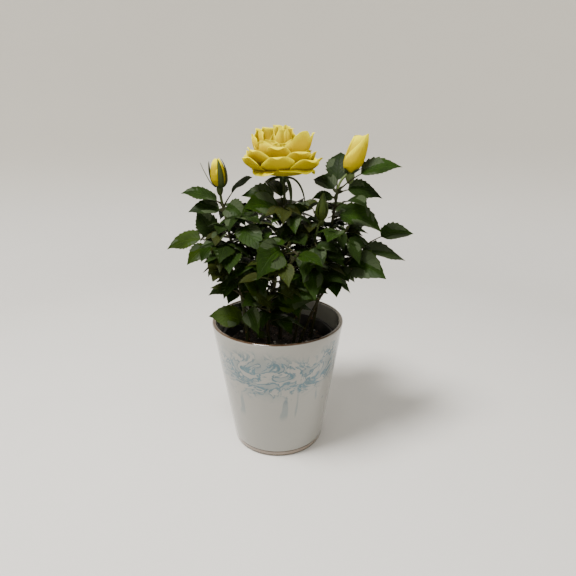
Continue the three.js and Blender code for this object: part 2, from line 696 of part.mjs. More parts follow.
const NURSERY_FOOT = POT.floor + GAP; // the nursery pot's underside
const nurseryRadius = (z) =>
  NURSERY.footRadius + ((NURSERY.rimRadius - NURSERY.footRadius) * (z - NURSERY_FOOT)) / NURSERY.height;

// The nursery pot: thin plastic with a collar round its rim.
function nurseryGeometry() {
  const { height, rimRadius, footRadius, wall, collar, collarHeight } = NURSERY;
  const top = NURSERY_FOOT + height;
  const under = top - collarHeight;
  const floor = NURSERY_FOOT + wall;
  return turned([
    [0, NURSERY_FOOT], [footRadius, NURSERY_FOOT], [nurseryRadius(under), under],
    [nurseryRadius(under) + collar, under], [rimRadius + collar, top], [rimRadius - wall, top],
    [nurseryRadius(floor) - wall, floor], [0, floor],
  ], NURSERY.sides);
}

// The soil fills the nursery pot to a flat top with a shallow groove along the wall.
function soilGeometry() {
  const foot = NURSERY_FOOT + NURSERY.wall + GAP;
  const edge = (z) => nurseryRadius(z) - NURSERY.wall - GAP;
  const low = SOIL_TOP - SOIL_GROOVE.depth;
  return turned([
    [0, foot], [edge(foot), foot], [edge(low), low], [edge(low) - SOIL_GROOVE.width, SOIL_TOP], [0, SOIL_TOP],
  ], NURSERY.sides);
}

// ---------------------------------------------------------------------------------------------------------
// The plant
// ---------------------------------------------------------------------------------------------------------

// The leaves that a stem bears by rule: one at each node, each a golden turn round from the last.
function ruleLeaves(axis, from, to, phase, spacing, vigour, throws) {
  const nodes = Math.max(1, Math.round(((to - from) * axis.length) / spacing));
  return Array.from({ length: nodes }, (_, k) => {
    const share = from + ((to - from) * (k + 0.5)) / nodes;
    const bearing = phase + GOLDEN_TURN * k + throws(-RULE.stray, RULE.stray);
    const reach = throws(...RULE.reach) * vigour;
    const rise = throws(...RULE.rise);
    const size = throws(...RULE.size) * vigour;
    return [share, bearing, reach, rise, size, RULE.pairs, throws(-RULE.roll, RULE.roll)];
  });
}

// A side twig leaves its stem at a share of the way and rises outward.
function twigAxis(stem, share, bearing, length) {
  const start = stem.point(share);
  const beyond = ([out, up]) =>
    start.clone().addScaledVector(toward(bearing), length * out).addScaledVector(UP, length * up);
  return bend(start, beyond(TWIG.bend), beyond(TWIG.tip));
}

const plant = SHOOTS.map((shoot, index) => {
  const axis = shootAxis(shoot);
  return { ...shoot, shoot, index, axis, name: `foliage_${shoot.name}`, solids: [] };
});

// First the limbs take their room, then the flowers, then the leaves.
for (const mass of plant) {
  occupy(limbSamples(mass.axis, 0, 1, mass.radius), mass.name);
  mass.solids.push(limb(mass.axis, mass.leafy + GAP / mass.axis.length, 1, mass.radius, STALK_SIDES));
}
const bloom = makeBloom(SHOOTS.find((shoot) => shoot.name === "bloom"));
occupy(bloom.samples, "bloom");
const buds = BUDS.map((bud) => {
  const made = makeBud(SHOOTS.find((shoot) => shoot.name === bud.shoot), bud);
  occupy(made.samples, bud.name);
  return { ...bud, ...made };
});

for (const mass of plant) {
  for (const [share, ...numbers] of mass.leaves) growLeaf(mass, mass.axis.point(share), numbers, true);
}
for (const mass of plant) {
  const throws = dice(mass.index + 1);
  for (const share of mass.twigs) {
    const bearing = mass.phase + 360 * share + throws(0, TWIG.fan);
    const twig = twigAxis(mass.axis, share, bearing, throws(...TWIG.length));
    const samples = limbSamples(twig, TWIG.clearFrom, 1, TWIG.radii);
    if (!isFree(samples, mass.name, twig.point(0))) continue;
    mass.solids.push(limb(twig, 0, 1, TWIG.radii, TWIG.sides));
    occupy(samples, mass.name);
    const [from, to] = TWIG.leafy;
    const rows = ruleLeaves(twig, from, to, bearing - TWIG.fan, TWIG.spacing, TWIG.vigour, throws);
    for (const [at, ...numbers] of rows) {
      growLeaf(mass, twig.point(at), numbers, false);
    }
  }
}
for (const mass of plant) {
  const throws = dice(mass.index + 101);
  const rows = ruleLeaves(mass.axis, mass.leafy + RULE.bare, RULE.end, mass.phase, RULE.spacing, 1, throws);
  for (const [share, ...numbers] of rows) {
    for (const [turn, shorter] of TRIALS) {
      const [bearing, reach, rise, size, pairs, roll] = numbers;
      const tried = [bearing + turn, reach * shorter, rise, size * shorter, pairs, roll];
      if (growLeaf(mass, mass.axis.point(share), tried, false)) break;
    }
  }
}

// ---------------------------------------------------------------------------------------------------------
// The assembly
// ---------------------------------------------------------------------------------------------------------

const finish = (color, roughness) => new THREE.MeshStandardMaterial({ color, roughness });
const group = new THREE.Group();

function place(name, geometry, material) {
  const mesh = new THREE.Mesh(geometry, material);
  mesh.name = name;
  group.add(mesh);
}

place("pot", potGeometry(), finish(COLOURS.glaze, 0.2));
place("nursery_pot", nurseryGeometry(), finish(COLOURS.plastic, 0.6));
place("soil", soilGeometry(), finish(COLOURS.soil, 1));
for (const mass of plant) {
  const cane = limb(mass.axis, 0, mass.leafy, mass.radius, CANE_SIDES, true);
  place(`cane_${mass.shoot.name}`, fuse([cane]), finish(COLOURS.bark, 0.75));
  place(mass.name, fuse(mass.solids), finish(COLOURS.leaf, 0.6));
}
place("bloom", fuse(bloom.solids), finish(COLOURS.petal, 0.7));
for (const bud of buds) {
  place(bud.name, fuse(bud.solids), finish(bud.name === "bud_green" ? COLOURS.greenBud : COLOURS.bud, 0.7));
}

export default group;
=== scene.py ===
"""A miniature rose in a glazed pot: the pots and the soil, the canes, the leaves, the bloom and the buds."""

import functools
import math

import bmesh
import bpy
import numpy as np
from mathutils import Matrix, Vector, noise


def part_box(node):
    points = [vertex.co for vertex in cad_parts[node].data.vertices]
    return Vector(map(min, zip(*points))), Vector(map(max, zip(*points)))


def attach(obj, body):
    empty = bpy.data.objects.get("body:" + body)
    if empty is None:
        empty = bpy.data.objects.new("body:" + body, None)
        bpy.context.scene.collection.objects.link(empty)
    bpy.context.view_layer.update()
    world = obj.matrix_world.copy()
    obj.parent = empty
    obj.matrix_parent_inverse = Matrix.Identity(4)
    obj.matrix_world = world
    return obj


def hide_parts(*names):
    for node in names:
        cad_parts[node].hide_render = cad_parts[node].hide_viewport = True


bl_info = {
    "name": "Potted Miniature Rose",
    "version": (1, 0, 0),
    "blender": (4, 5, 0),
    "location": "View3D > Sidebar > Rose",
    "description": "Builds the finished pieces of a miniature rose in a glazed pot",
    "category": "Object",
}

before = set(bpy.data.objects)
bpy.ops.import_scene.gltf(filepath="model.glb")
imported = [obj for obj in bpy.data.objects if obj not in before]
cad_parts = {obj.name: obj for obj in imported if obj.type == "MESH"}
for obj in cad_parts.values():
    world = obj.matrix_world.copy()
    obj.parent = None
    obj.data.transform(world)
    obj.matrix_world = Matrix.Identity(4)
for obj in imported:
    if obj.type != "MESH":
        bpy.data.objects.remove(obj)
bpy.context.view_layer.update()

MM = 0.001  # the plant is worked out in millimetres, the meshes are in metres


# ---- Sizes of the plant, in millimetres ----

GAP = 0.3  # clear space between pieces that meet
RIM_HEIGHT = 123.0
MOUTH_RADIUS = 47.0  # leaves below the rim stay inside this radius
SOIL_TOP = 98.0
SOIL_GROOVE = 3.0
NURSERY_FOOT = 7.3  # the nursery pot's underside, over the underside of the outer pot
NURSERY = {"height": 99.0, "rim": 52.0, "foot": 37.0, "wall": 1.2, "collar": 1.6, "collar_height": 7.0}

BLADE_WIDTH = 0.3  # half the blade's width over its length
KEEL = 0.45  # how far the midrib stands out under the blade
STAGGER = 0.9  # half the offset between the two side leaflets of a pair
SPREAD = math.radians(62)  # angle between a side leaflet and the leaf's axis
DROOP = 0.28  # how far a side leaflet's tip hangs, over its length
STALK_RADIUS = 0.72
CLEAR = {"blade": 2.5, "stalk": 1.2, "limb": 1.3, "own": 0.75, "root": 7.0, "cell": 10.0}
DOME = {"centre": (4, 0, 186), "radii": (82, 74, 50), "lowest": 141}
GOLDEN_TURN = 137.5

# Each shoot: its foot on the soil, its middle point, its tip, its radius at both ends, the share of the way
# where its foliage begins, its phase, and the shares where its side twigs leave it. A row of "leaves" is one
# chosen leaf: share of the way, bearing, reach, rise, length of the end leaflet, pairs of side leaflets, roll.
SHOOTS = [
    {
        "name": "left", "foot": (-25, -28), "middle": (-31, -25, 160), "tip": (-46, -6, 229),
        "radius": (2.0, 1.1), "leafy": 0.2, "phase": 40, "twigs": (0.52,),
        "leaves": [
            (0.985, 179, 35, 10, 33, 0, 14), (0.95, 194, 30, 1, 36, 0, 34), (0.975, 30, 28, 24, 27, 0, 30),
            (0.965, 318, 27, -11, 36, 0, -40), (0.86, 309, 48, -12, 31, 0, -15),
            (0.6, 238, 16, -9, 25, 0, 10), (0.24, 176, 33, 7, 38, 0, 55),
        ],
    },
    {
        "name": "far_left", "foot": (-15, 2), "middle": (-32, -3, 151), "tip": (-54, -8, 196),
        "radius": (1.6, 0.9), "leafy": 0.45, "phase": 100, "twigs": (0.6,),
        "leaves": [
            (0.98, 176, 44, -6, 33, 0, 40), (0.93, 218, 31, -10, 23, 0, 42), (0.86, 254, 29, -9, 31, 0, 30),
            (0.97, 151, 20, 27, 35, 0, 50), (0.5, 197, 31, -3, 25, 2, 18), (0.8, 120, 42, 6, 28, 2, 0),
        ],
    },
    {
        "name": "front", "foot": (-6, -24), "middle": (-6, -36, 152), "tip": (11, -44, 204),
        "radius": (1.5, 0.8), "leafy": 0.14, "phase": 31, "twigs": (0.42, 0.6, 0.78),
        "leaves": [
            (0.92, 239, 39, -13, 39, 0, 50), (0.45, 211, 33, 35, 37, 0, 42), (0.55, 331, 43, 4, 38, 0, -46),
            (0.4, 249, 13, -11, 26, 0, 10), (0.16, 230, 15, 4, 13, 0, 30),
        ],
    },
    {
        "name": "bloom", "foot": (2, 2), "middle": (4, -5, 165), "tip": (6.5, -7, 232),
        "radius": (1.8, 1.15), "leafy": 0.5, "phase": 75, "twigs": (0.6, 0.72),
        "leaves": [
            (0.95, 172, 37, 9, 30, 0, 42), (0.91, 218, 40, 8, 42, 0, 42), (0.9, 347, 22, 5, 26, 0, -36),
            (0.965, 118, 31, 19, 31, 0, 0), (0.93, 118, 30, 6, 27, 0, 0), (0.92, 62, 36, 4, 27, 1, 0),
        ],
    },
    {
        "name": "green_bud", "foot": (13, -20), "middle": (23, -24, 152), "tip": (32, -25, 203),
        "radius": (1.4, 0.9), "leafy": 0.45, "phase": 150, "twigs": (0.55, 0.72),
        "leaves": [
            (0.92, 255, 36, -18, 31, 0, 0), (0.7, 316, 36, -1, 30, 1, -30),
        ],
    },
    {
        "name": "right", "foot": (31, 6), "middle": (41, 0, 165), "tip": (51, -9, 241),
        "radius": (1.7, 1.0), "leafy": 0.47, "phase": 10, "twigs": (0.56, 0.7),
        "leaves": [
            (0.985, -8, 51, 20, 36, 0, -32), (0.975, 358, 38, -4, 31, 0, -42),
            (0.9, 301, 41, 5, 27, 0, -20), (0.93, 77, 26, 40, 33, 0, 0), (0.975, 133, 28, 10, 27, 0, 26),
            (0.945, 191, 21, 1, 27, 0, 34), (0.84, 354, 42, -11, 42, 0, -34), (0.8, 45, 44, 4, 30, 2, 0),
        ],
    },
    {
        "name": "far_right", "foot": (20, -8), "middle": (41, -9, 150), "tip": (70, -8, 187),
        "radius": (1.5, 0.85), "leafy": 0.5, "phase": 60, "twigs": (0.6, 0.75),
        "leaves": [
            (0.97, 15, 56, 15, 34, 0, -28), (0.9, 5, 51, -3, 42, 0, -12), (0.8, 313, 46, -1, 41, 0, -55),
            (0.6, 3, 20, -10, 20, 1, -20),
        ],
    },
    {
        "name": "back_left", "foot": (-12, 25), "middle": (-20, 38, 155), "tip": (-30, 46, 214),
        "radius": (1.6, 0.9), "leafy": 0.42, "phase": 130, "twigs": (0.56, 0.74),
        "leaves": [
            (0.97, 150, 38, 6, 30, 1, 0), (0.96, 60, 36, 8, 28, 1, 0), (0.75, 105, 42, 0, 30, 2, 0),
        ],
    },
    {
        "name": "back_right", "foot": (15, 27), "middle": (24, 38, 155), "tip": (38, 45, 216),
        "radius": (1.6, 0.9), "leafy": 0.42, "phase": 200, "twigs": (0.56, 0.74),
        "leaves": [
            (0.97, 30, 42, 4, 30, 1, 0), (0.96, 110, 36, 8, 28, 1, 0), (0.75, 70, 42, 0, 30, 2, 0),
        ],
    },
]

# The kinds of green of the chosen leaves, in the order of each shoot's list; the other leaves draw theirs.
CHOSEN_GREENS = {
    "left": ("mid", "dark", "dark", "mid", "mid", "dark", "fresh"),
    "far_left": ("fresh", "fresh", "mid", "dark", "mid"),
    "front": ("mid", "fresh", "mid", "mid", "fresh"),
    "bloom": ("mid", "mid", "dark", "dark"),
    "green_bud": ("mid", "dark"),
    "right": ("mid", "dark", "dark", "dark", "dark", "dark", "mid"),
    "far_right": ("mid", "mid", "mid", "mid"),
}
GREENS = ("dark", "mid", "olive", "fresh", "bronze")
DRAWN_GREENS = ("dark",) * 4 + ("mid",) * 6 + ("olive",) * 3 + ("bronze",)

BLOOM_BASE = (5.5, -5.0, 251.0)
# The bloom's whorls from outside, and its sepals. Ends and control points are (radius, height) over its base.
WHORLS = [
    {"petals": 5, "first": -62, "end": (29, 4), "control": (15, 9), "half_width": 16, "cup": 0.1},
    {"petals": 7, "first": -100, "end": (31, 14), "control": (22, 0), "half_width": 15, "cup": 0.2},
    {"petals": 6, "first": -72, "end": (27, 19), "control": (21, 3), "half_width": 14, "cup": 0.25},
    {"petals": 5, "first": -90, "end": (21, 23), "control": (18, 6), "half_width": 12, "cup": 0.3},
    {
        "petals": 2, "first": -42, "turn": 36, "end": (21, 35), "control": (19, 14), "half_width": 10,
        "cup": 0.25,
    },
]
BLOOM_SEPALS = [
    {"bearing": -50, "end": (10, -22), "control": (9, -1)},
    {"bearing": 2, "end": (19, -24), "control": (15, 3)},
    {"bearing": 75, "end": (17, -3), "control": (8, 1)},
    {"bearing": 150, "end": (17, -3), "control": (8, 1)},
    {"bearing": 215, "end": (16, -4), "control": (8, 1)},
]
BUDS = [
    {"name": "bud_right", "shoot": "right", "base": (61, -6, 254), "tip": (69, -6, 284), "radius": 9},
    {"name": "bud_left", "shoot": "left", "base": (-47.5, -5, 243), "tip": (-49, -5, 265.5), "radius": 6.8},
    {"name": "bud_green", "shoot": "green_bud", "base": (36.5, -25, 219), "tip": (37.5, -25, 239), "radius": 5},
]
# The room that a bud takes: shares of its height and of its radius.
BUD_PROFILE = ((0.0, 0.45), (0.22, 0.92), (0.45, 1.0), (0.7, 0.8), (0.9, 0.42))
PETAL_ROOT = 0.15  # the share of a petal's length, at its root, that the heart hides


# ---- Curves and chance ----

UP = np.array((0.0, 0.0, 1.0))


def cross(a, b):
    """The cross product of two vectors."""
    return np.array((a[1] * b[2] - a[2] * b[1], a[2] * b[0] - a[0] * b[2], a[0] * b[1] - a[1] * b[0]))


def unit(a):
    """The vector at length 1."""
    return a / math.sqrt(a[0] * a[0] + a[1] * a[1] + a[2] * a[2])


def far(a, b):
    """The distance between two points."""
    return math.sqrt((a[0] - b[0]) ** 2 + (a[1] - b[1]) ** 2 + (a[2] - b[2]) ** 2)


def toward(bearing):
    """The level direction at a bearing in degrees."""
    angle = math.radians(bearing)
    return np.array((math.cos(angle), math.sin(angle), 0.0))


def ease(low, high, value):
    """0 below low and 1 above high, with a smooth passage."""
    share = min(1.0, max(0.0, (value - low) / (high - low)))
    return share * share * (3 - 2 * share)


class Dice:
    """A stream of numbers that is the same each time for one seed."""

    def __init__(self, seed):
        self.state = (seed * 7919 + 12345) % 2**32

    def __call__(self, low=0.0, high=1.0):
        self.state = (1664525 * self.state + 1013904223) % 2**32
        return low + (high - low) * self.state / 2**32

    def pick(self, choices):
        """One of the choices."""
        return choices[int(self(0, len(choices)))]


class Curve:
    """A curve of three points: it leaves the start toward the control point and arrives at the end from it."""

    def __init__(self, start, control, end):
        self.start, self.control, self.end = (np.array(p, float) for p in (start, control, end))
        self.length = (
            far(self.start, self.control) + far(self.control, self.end) + far(self.start, self.end)
        ) / 2

    def point(self, s):
        """The point at a share of the way."""
        return (1 - s) * (1 - s) * self.start + 2 * s * (1 - s) * self.control + s * s * self.end

    def heading(self, s):
        """The direction of travel at a share of the way."""
        return unit((self.control - self.start) * (1 - s) + (self.end - self.control) * s)


# ---- How the plant grows ----


class Room:
    """Sample points of all that has grown so far, sorted into cells."""

    def __init__(self):
        self.cells = {}

    def cell(self, at):
        """The cell that holds a point."""
        return tuple(math.floor(value / CLEAR["cell"]) for value in at)

    def occupy(self, samples, owner):
        """Takes the room of these samples."""
        for at, radius in samples:
            self.cells.setdefault(self.cell(at), []).append((at, radius, owner))

    def is_free(self, samples, owner, root):
        """Whether samples stay over the soil and the rim, and clear of what grew there before."""
        for at, radius in samples:
            is_over_rim = at[2] > RIM_HEIGHT + 2 or math.hypot(at[0], at[1]) < MOUTH_RADIUS
            if at[2] <= SOIL_TOP + 6 or not is_over_rim or self.meets(at, radius, owner, root):
                return False
        return True

    def meets(self, at, radius, owner, root):
        """Whether a sample comes too close to another one that isn't round its own root."""
        x, y, z = self.cell(at)
        for dx in (-1, 0, 1):
            for dy in (-1, 0, 1):
                for dz in (-1, 0, 1):
                    for other, size, whose in self.cells.get((x + dx, y + dy, z + dz), ()):
                        share = CLEAR["own"] if whose == owner else 1
                        if far(at, other) < (radius + size) * share and far(other, root) > CLEAR["root"]:
                            return True
        return False


def shoot_axis(shoot):
    """The axis of a shoot: one curve from the soil through its middle point to its tip."""
    start = np.array((*shoot["foot"], SOIL_TOP + GAP), float)
    end = np.array(shoot["tip"], float)
    control = np.array(shoot["middle"], float) * 2 - start * 0.5 - end * 0.5
    return Curve(start, control, end)


def limb_samples(axis, start, end, radii):
    """Sample points along a limb."""
    count = math.ceil((end - start) * axis.length / 4)
    samples = []
    for i in range(count + 1):
        s = start + (end - start) * i / count
        samples.append((axis.point(s), radii[0] + (radii[1] - radii[0]) * s + CLEAR["limb"]))
    return samples


def blade_outline(f):
    """The blade's half width over its greatest half width, from its root at 0 to its tip at 1."""
    return max(0.0, math.sin(math.pi * max(f, 0.0) ** 0.8)) ** 0.75


def frame_of(axis, s, roll):
    """A leaf's frame at a share of its axis: place, heading, side and the way that its face looks."""
    heading = axis.heading(s)
    level = unit(cross(heading, UP))
    face = cross(level, heading)
    side = level * math.cos(roll) + face * math.sin(roll)
    return axis.point(s), heading, side, cross(side, heading)


class EndLeaflet:
    """The leaflet at the end of a leaf: it lies along the leaf's own axis."""

    def __init__(self, axis, blade_from, roll):
        self.axis = axis
        self.blade_from = blade_from
        self.roll = roll
        self.length = axis.length * (1 - blade_from)

    def frame(self, f):
        """The frame at a share of the blade; a negative share lies on the leaf's stalk."""
        return frame_of(self.axis, self.blade_from + (1 - self.blade_from) * f, self.roll)


class SideLeaflet:
    """A side leaflet: its midrib starts at the leaf's axis, spreads to one side and hangs toward its tip."""

    def __init__(self, base, hand, length):
        self.at, heading, side, self.face = base
        self.spread = heading * math.cos(SPREAD) + side * (hand * math.sin(SPREAD))
        self.length = length

    def frame(self, f):
        """The frame at a share of the blade."""
        at = self.at + self.spread * (self.length * f)
        at[2] -= DROOP * self.length * f * f
        heading = unit(self.spread + UP * (-2 * DROOP * f))
        side = unit(cross(heading, self.face))
        return at, heading, side, cross(side, heading)


def blade_samples(leaflet, clear):
    """Sample points of one leaflet's blade."""
    samples = [(leaflet.frame(f)[0], clear) for f in (0.2, 0.45, 0.7, 0.96)]
    for f in (0.3, 0.62):
        at, _, side, _ = leaflet.frame(f)
        offset = leaflet.length * BLADE_WIDTH * blade_outline(f) * 0.75
        samples += [(at + side * (hand * offset), clear) for hand in (1, -1)]
    return samples


class Leaf:
    """A leaf of one end leaflet and some pairs of side leaflets."""

    def __init__(self, root, bearing, reach, rise, size, pairs, roll):
        outward = toward(bearing)
        self.root = root
        top = max(rise, 0) * 0.6 + reach * 0.24
        self.axis = Curve(root, root + outward * (reach * 0.45) + UP * top, root + outward * reach + UP * rise)
        self.blade_from = max(0.14, 1 - size / self.axis.length)
        self.green = "mid"
        turn = math.radians(roll)
        self.leaflets = [EndLeaflet(self.axis, self.blade_from, turn)]
        for pair in range(pairs):
            start = self.blade_from - 0.03 - pair * size * 0.55 / self.axis.length
            if start < 0.22:
                break
            for hand in (1, -1):
                base = frame_of(self.axis, start + hand * STAGGER / self.axis.length, turn)
                self.leaflets.append(SideLeaflet(base, hand, size * (0.82 - 0.12 * pair)))

    def grow(self, room, owner, is_chosen, clear=CLEAR["blade"], dome=DOME):
        """Keeps the leaflets that have room. The whole leaf goes when its end leaflet doesn't fit."""
        end, *others = self.leaflets
        stalk = [(self.axis.point(self.blade_from * share), CLEAR["stalk"]) for share in (0.35, 0.6, 0.85)]

        def fits(samples):
            return room.is_free(samples, owner, self.root) and (
                is_chosen or all(is_in_dome(at, dome) for at, _ in samples)
            )

        if not fits(blade_samples(end, clear)) or not fits(stalk):
            return False
        self.leaflets = [end] + [leaflet for leaflet in others if fits(blade_samples(leaflet, clear))]
        room.occupy(stalk, owner)
        for leaflet in self.leaflets:
            room.occupy(blade_samples(leaflet, clear), owner)
        return True


def is_in_dome(at, dome):
    """Whether a point lies in a dome that the foliage fills by rule."""
    parts = [(value - middle) / radius for value, middle, radius in zip(at, dome["centre"], dome["radii"])]
    return sum(part * part for part in parts) < 1 and at[2] > dome["lowest"]


def rule_leaves(axis, start, end, phase, spacing, vigour, throws):
    """The leaves that a stem bears by rule: each a golden turn round from the last."""
    nodes = max(1, math.floor((end - start) * axis.length / spacing + 0.5))
    rows = []
    for k in range(nodes):
        share = start + (end - start) * (k + 0.5) / nodes
        bearing = phase + GOLDEN_TURN * k + throws(-14, 14)
        reach = throws(38, 50) * vigour
        rise = throws(-20, 6)
        size = throws(24, 31) * vigour
        rows.append((share, bearing, reach, rise, size, 2, throws(-18, 18)))
    return rows


def twig_axis(stem, share, bearing, length):
    """A side twig leaves its stem at a share of the way and rises outward."""
    start = stem.point(share)
    outward = toward(bearing)
    return Curve(
        start, start + outward * (length * 0.5) + UP * (length * 0.15),
        start + outward * (length * 0.8) + UP * (length * 0.6),
    )


def flower_stalk(shoot, base):
    """The stalk of a flower goes on from the tip of its shoot, past the clear gap, to the flower's base."""
    axis = shoot_axis(shoot)
    start = axis.point(1) + axis.heading(1) * GAP
    control = start + axis.heading(1) * (far(start, base) / 2)
    return Curve(start, control, base)


def petal_curve(petal):
    """The middle line of a petal or sepal in its own upright plane, as radius and height."""
    (across, up), (end_across, end_up) = petal["control"], petal["end"]
    return Curve((0.5, 0, 0), (across, 0, up), (end_across, 0, end_up))


def flower_samples(shoots):
    """The room that the bloom and the buds take."""
    stalk = flower_stalk(shoots["bloom"], BLOOM_BASE)
    radius = shoots["bloom"]["radius"][1]
    samples = limb_samples(stalk, 0, 1, (radius, radius * 0.95))
    for reach in (0, 10, 20, 30):
        for bearing in range(0, 360, 30):
            samples.append((np.array(BLOOM_BASE) + toward(bearing) * reach + UP * 5, 5))
    for sepal in BLOOM_SEPALS:
        middle = petal_curve(sepal)
        for v in (0.4, 0.6, 0.8, 1):
            across, _, up = middle.point(v)
            at = np.array(BLOOM_BASE) + toward(sepal["bearing"]) * across + UP * (up - 2)
            samples.append((at, 1.6))
    yield "bloom", samples
    for bud in BUDS:
        start = np.array(bud["base"], float)
        lean = np.array(bud["tip"], float) - start
        radius = shoots[bud["shoot"]]["radius"][1]
        stalk = flower_stalk(shoots[bud["shoot"]], bud["base"])
        samples = limb_samples(stalk, 0, 1, (radius, radius * 0.95))
        samples += [(start + lean * height, bud["radius"] * share) for height, share in BUD_PROFILE]
        yield bud["name"], samples


class Mass:
    """One shoot with the twigs and leaves that it bears."""

    def __init__(self, index, shoot):
        self.index = index
        self.shoot = shoot
        self.name = shoot["name"]
        self.axis = shoot_axis(shoot)
        self.twigs = []
        self.leaves = []

    def bear(self, leaf, room, is_chosen, clear=CLEAR["blade"], dome=DOME):
        """Adds a leaf where there is room for it."""
        if leaf.grow(room, self.name, is_chosen, clear, dome):
            self.leaves.append(leaf)
            return True
        return False


@functools.lru_cache(maxsize=1)
def grow_plant():
    """First the limbs take their room, then the flowers, then the leaves, then the finer growth."""
    room = Room()
    masses = [Mass(index, shoot) for index, shoot in enumerate(SHOOTS)]
    for mass in masses:
        room.occupy(limb_samples(mass.axis, 0, 1, mass.shoot["radius"]), mass.name)
    for name, samples in flower_samples({shoot["name"]: shoot for shoot in SHOOTS}):
        room.occupy(samples, name)
    for mass in masses:
        greens = Dice(mass.index + 51)
        for place, (share, *numbers) in enumerate(mass.shoot["leaves"]):
            leaf = Leaf(mass.axis.point(share), *numbers)
            chosen = CHOSEN_GREENS.get(mass.name, ())
            leaf.green = chosen[place] if place < len(chosen) else greens.pick(DRAWN_GREENS)
            mass.bear(leaf, room, True)
    for mass in masses:
        grow_twigs(mass, room)
    for mass in masses:
        grow_stem_leaves(mass, room)
    for mass in masses:
        grow_low_leaves(mass, room)
    for mass in masses:
        grow_fine_leaves(mass, room)
    return masses


def grow_twigs(mass, room):
    """The side twigs of a shoot and their leaves."""
    throws, greens = Dice(mass.index + 1), Dice(mass.index + 61)
    for share in mass.shoot["twigs"]:
        bearing = mass.shoot["phase"] + 360 * share + throws(0, 60)
        twig = twig_axis(mass.axis, share, bearing, throws(26, 34))
        samples = limb_samples(twig, 0.3, 1, (0.95, 0.65))
        if not room.is_free(samples, mass.name, twig.point(0)):
            continue
        mass.twigs.append(twig)
        room.occupy(samples, mass.name)
        green = greens.pick(DRAWN_GREENS)
        for at, *numbers in rule_leaves(twig, 0.45, 0.98, bearing - 60, 12, 0.85, throws):
            leaf = Leaf(twig.point(at), *numbers)
            leaf.green = green
            mass.bear(leaf, room, False)


def grow_stem_leaves(mass, room):
    """The leaves on the stem itself; one that has no room is tried shorter and turned."""
    throws, greens = Dice(mass.index + 101), Dice(mass.index + 71)
    start, phase = mass.shoot["leafy"] + 0.04, mass.shoot["phase"]
    for share, *numbers in rule_leaves(mass.axis, start, 0.97, phase, 6, 1, throws):
        green = greens.pick(DRAWN_GREENS)
        for turn, part in ((0, 1), (24, 0.9), (-24, 0.9), (48, 0.8), (-48, 0.8), (90, 0.7), (-90, 0.7)):
            bearing, reach, rise, size, pairs, roll = numbers
            leaf = Leaf(mass.axis.point(share), bearing + turn, reach * part, rise, size * part, pairs, roll)
            leaf.green = green
            if mass.bear(leaf, room, False):
                break


# The rounds of finer leaves: seed, spacing, vigour and the clear radius of a blade.
FINE_PASSES = ((201, 5.0, 0.95, 1.5), (301, 4.0, 0.72, 1.1))
# The last round fills the depth of the plant, low on some shoots, between two shares of their length.
LOW_PASS = (407, 8.0, 0.85, 1.6)
LOW_STRETCH = (0.12, 0.55)
LOW_DOME = {"centre": (-12, -14, 150), "radii": (54, 46, 44), "lowest": 112}
LOW_SHOOTS = ("left", "far_left", "front", "bloom")
LOW_CLEAR = 1.2  # the clear radius of the blades in LOW_LEAVES
# Leaves placed one by one low on the stems: the green, then the same numbers as a shoot's own leaves.
# Painted light: the first low leaf of each stem gets the lighter fresh green to stand in for light that reaches
# it under the foliage.
LOW_LEAVES = {
    "front": [("fresh", 0.42, 340, 42, 14, 38, 0, -50), ("mid", 0.5, 220, 28, 0, 24, 0, 44)],
    "left": [("fresh", 0.54, 315, 28, -14, 24, 0, -44), ("mid", 0.36, 300, 28, -14, 24, 0, -44)],
}


def grow_low_leaves(mass, room):
    """The leaves placed one by one low on a stem; one that has no room is tried a little lower or higher."""
    for green, share, *numbers in LOW_LEAVES.get(mass.name, ()):
        for shift in (0, -0.02, 0.02, -0.04, 0.04, -0.07, 0.07, -0.1):
            leaf = Leaf(mass.axis.point(share + shift), *numbers)
            leaf.green = green
            if mass.bear(leaf, room, True, LOW_CLEAR):
                break


def grow_fine_leaves(mass, room):
    """Ever smaller leaves in the room that is left, on the stem and on its twigs, then some low on the stem."""
    for seed, spacing, vigour, clear in FINE_PASSES:
        stems = [(mass.axis, mass.shoot["leafy"] + 0.03, 0.97), *((twig, 0.2, 0.97) for twig in mass.twigs)]
        grow_pass(mass, room, stems, seed, spacing, vigour, clear, DOME)
    if mass.name in LOW_SHOOTS:
        grow_pass(mass, room, [(mass.axis, *LOW_STRETCH)], *LOW_PASS, LOW_DOME)


def grow_pass(mass, room, stems, seed, spacing, vigour, clear, dome):
    """One round of leaves on some stems: each is tried in turned places until one fits."""
    throws, greens = Dice(mass.index + seed), Dice(mass.index + seed + 50)
    phase = seed + mass.shoot["phase"]
    for axis, start, end in stems:
        for share, bearing, *rest in rule_leaves(axis, start, end, phase, spacing, vigour, throws):
            green = greens.pick(DRAWN_GREENS)
            for turn in (0, 40, -40, 85, -85):
                leaf = Leaf(axis.point(share), bearing + turn, *rest)
                leaf.green = green
                if mass.bear(leaf, room, False, clear, dome):
                    break


# ---- Patterns, and stock bent from them ----


def pattern_mesh(name, bm):
    """Keeps a bmesh as the mesh of a pattern."""
    mesh = bpy.data.meshes.new(name)
    bm.to_mesh(mesh)
    bm.free()
    return mesh


def lay_uv(bm, across=0.5):
    """Gives a flat pattern its UV map: across from 0 to 1 over the pattern's width, along by its length."""
    layer = bm.loops.layers.uv.new("pattern")
    for face in bm.faces:
        for loop in face.loops:
            x, y, _ = loop.vert.co
            loop[layer].uv = (0.5 + across * x, y)


BLADE_ROWS = (0.0, 0.08, 0.19, 0.3, 0.41, 0.52, 0.63, 0.75, 0.87, 1.0)
UV_ACROSS = 0.45  # the share of the UV's width from the midrib to the blade's edge


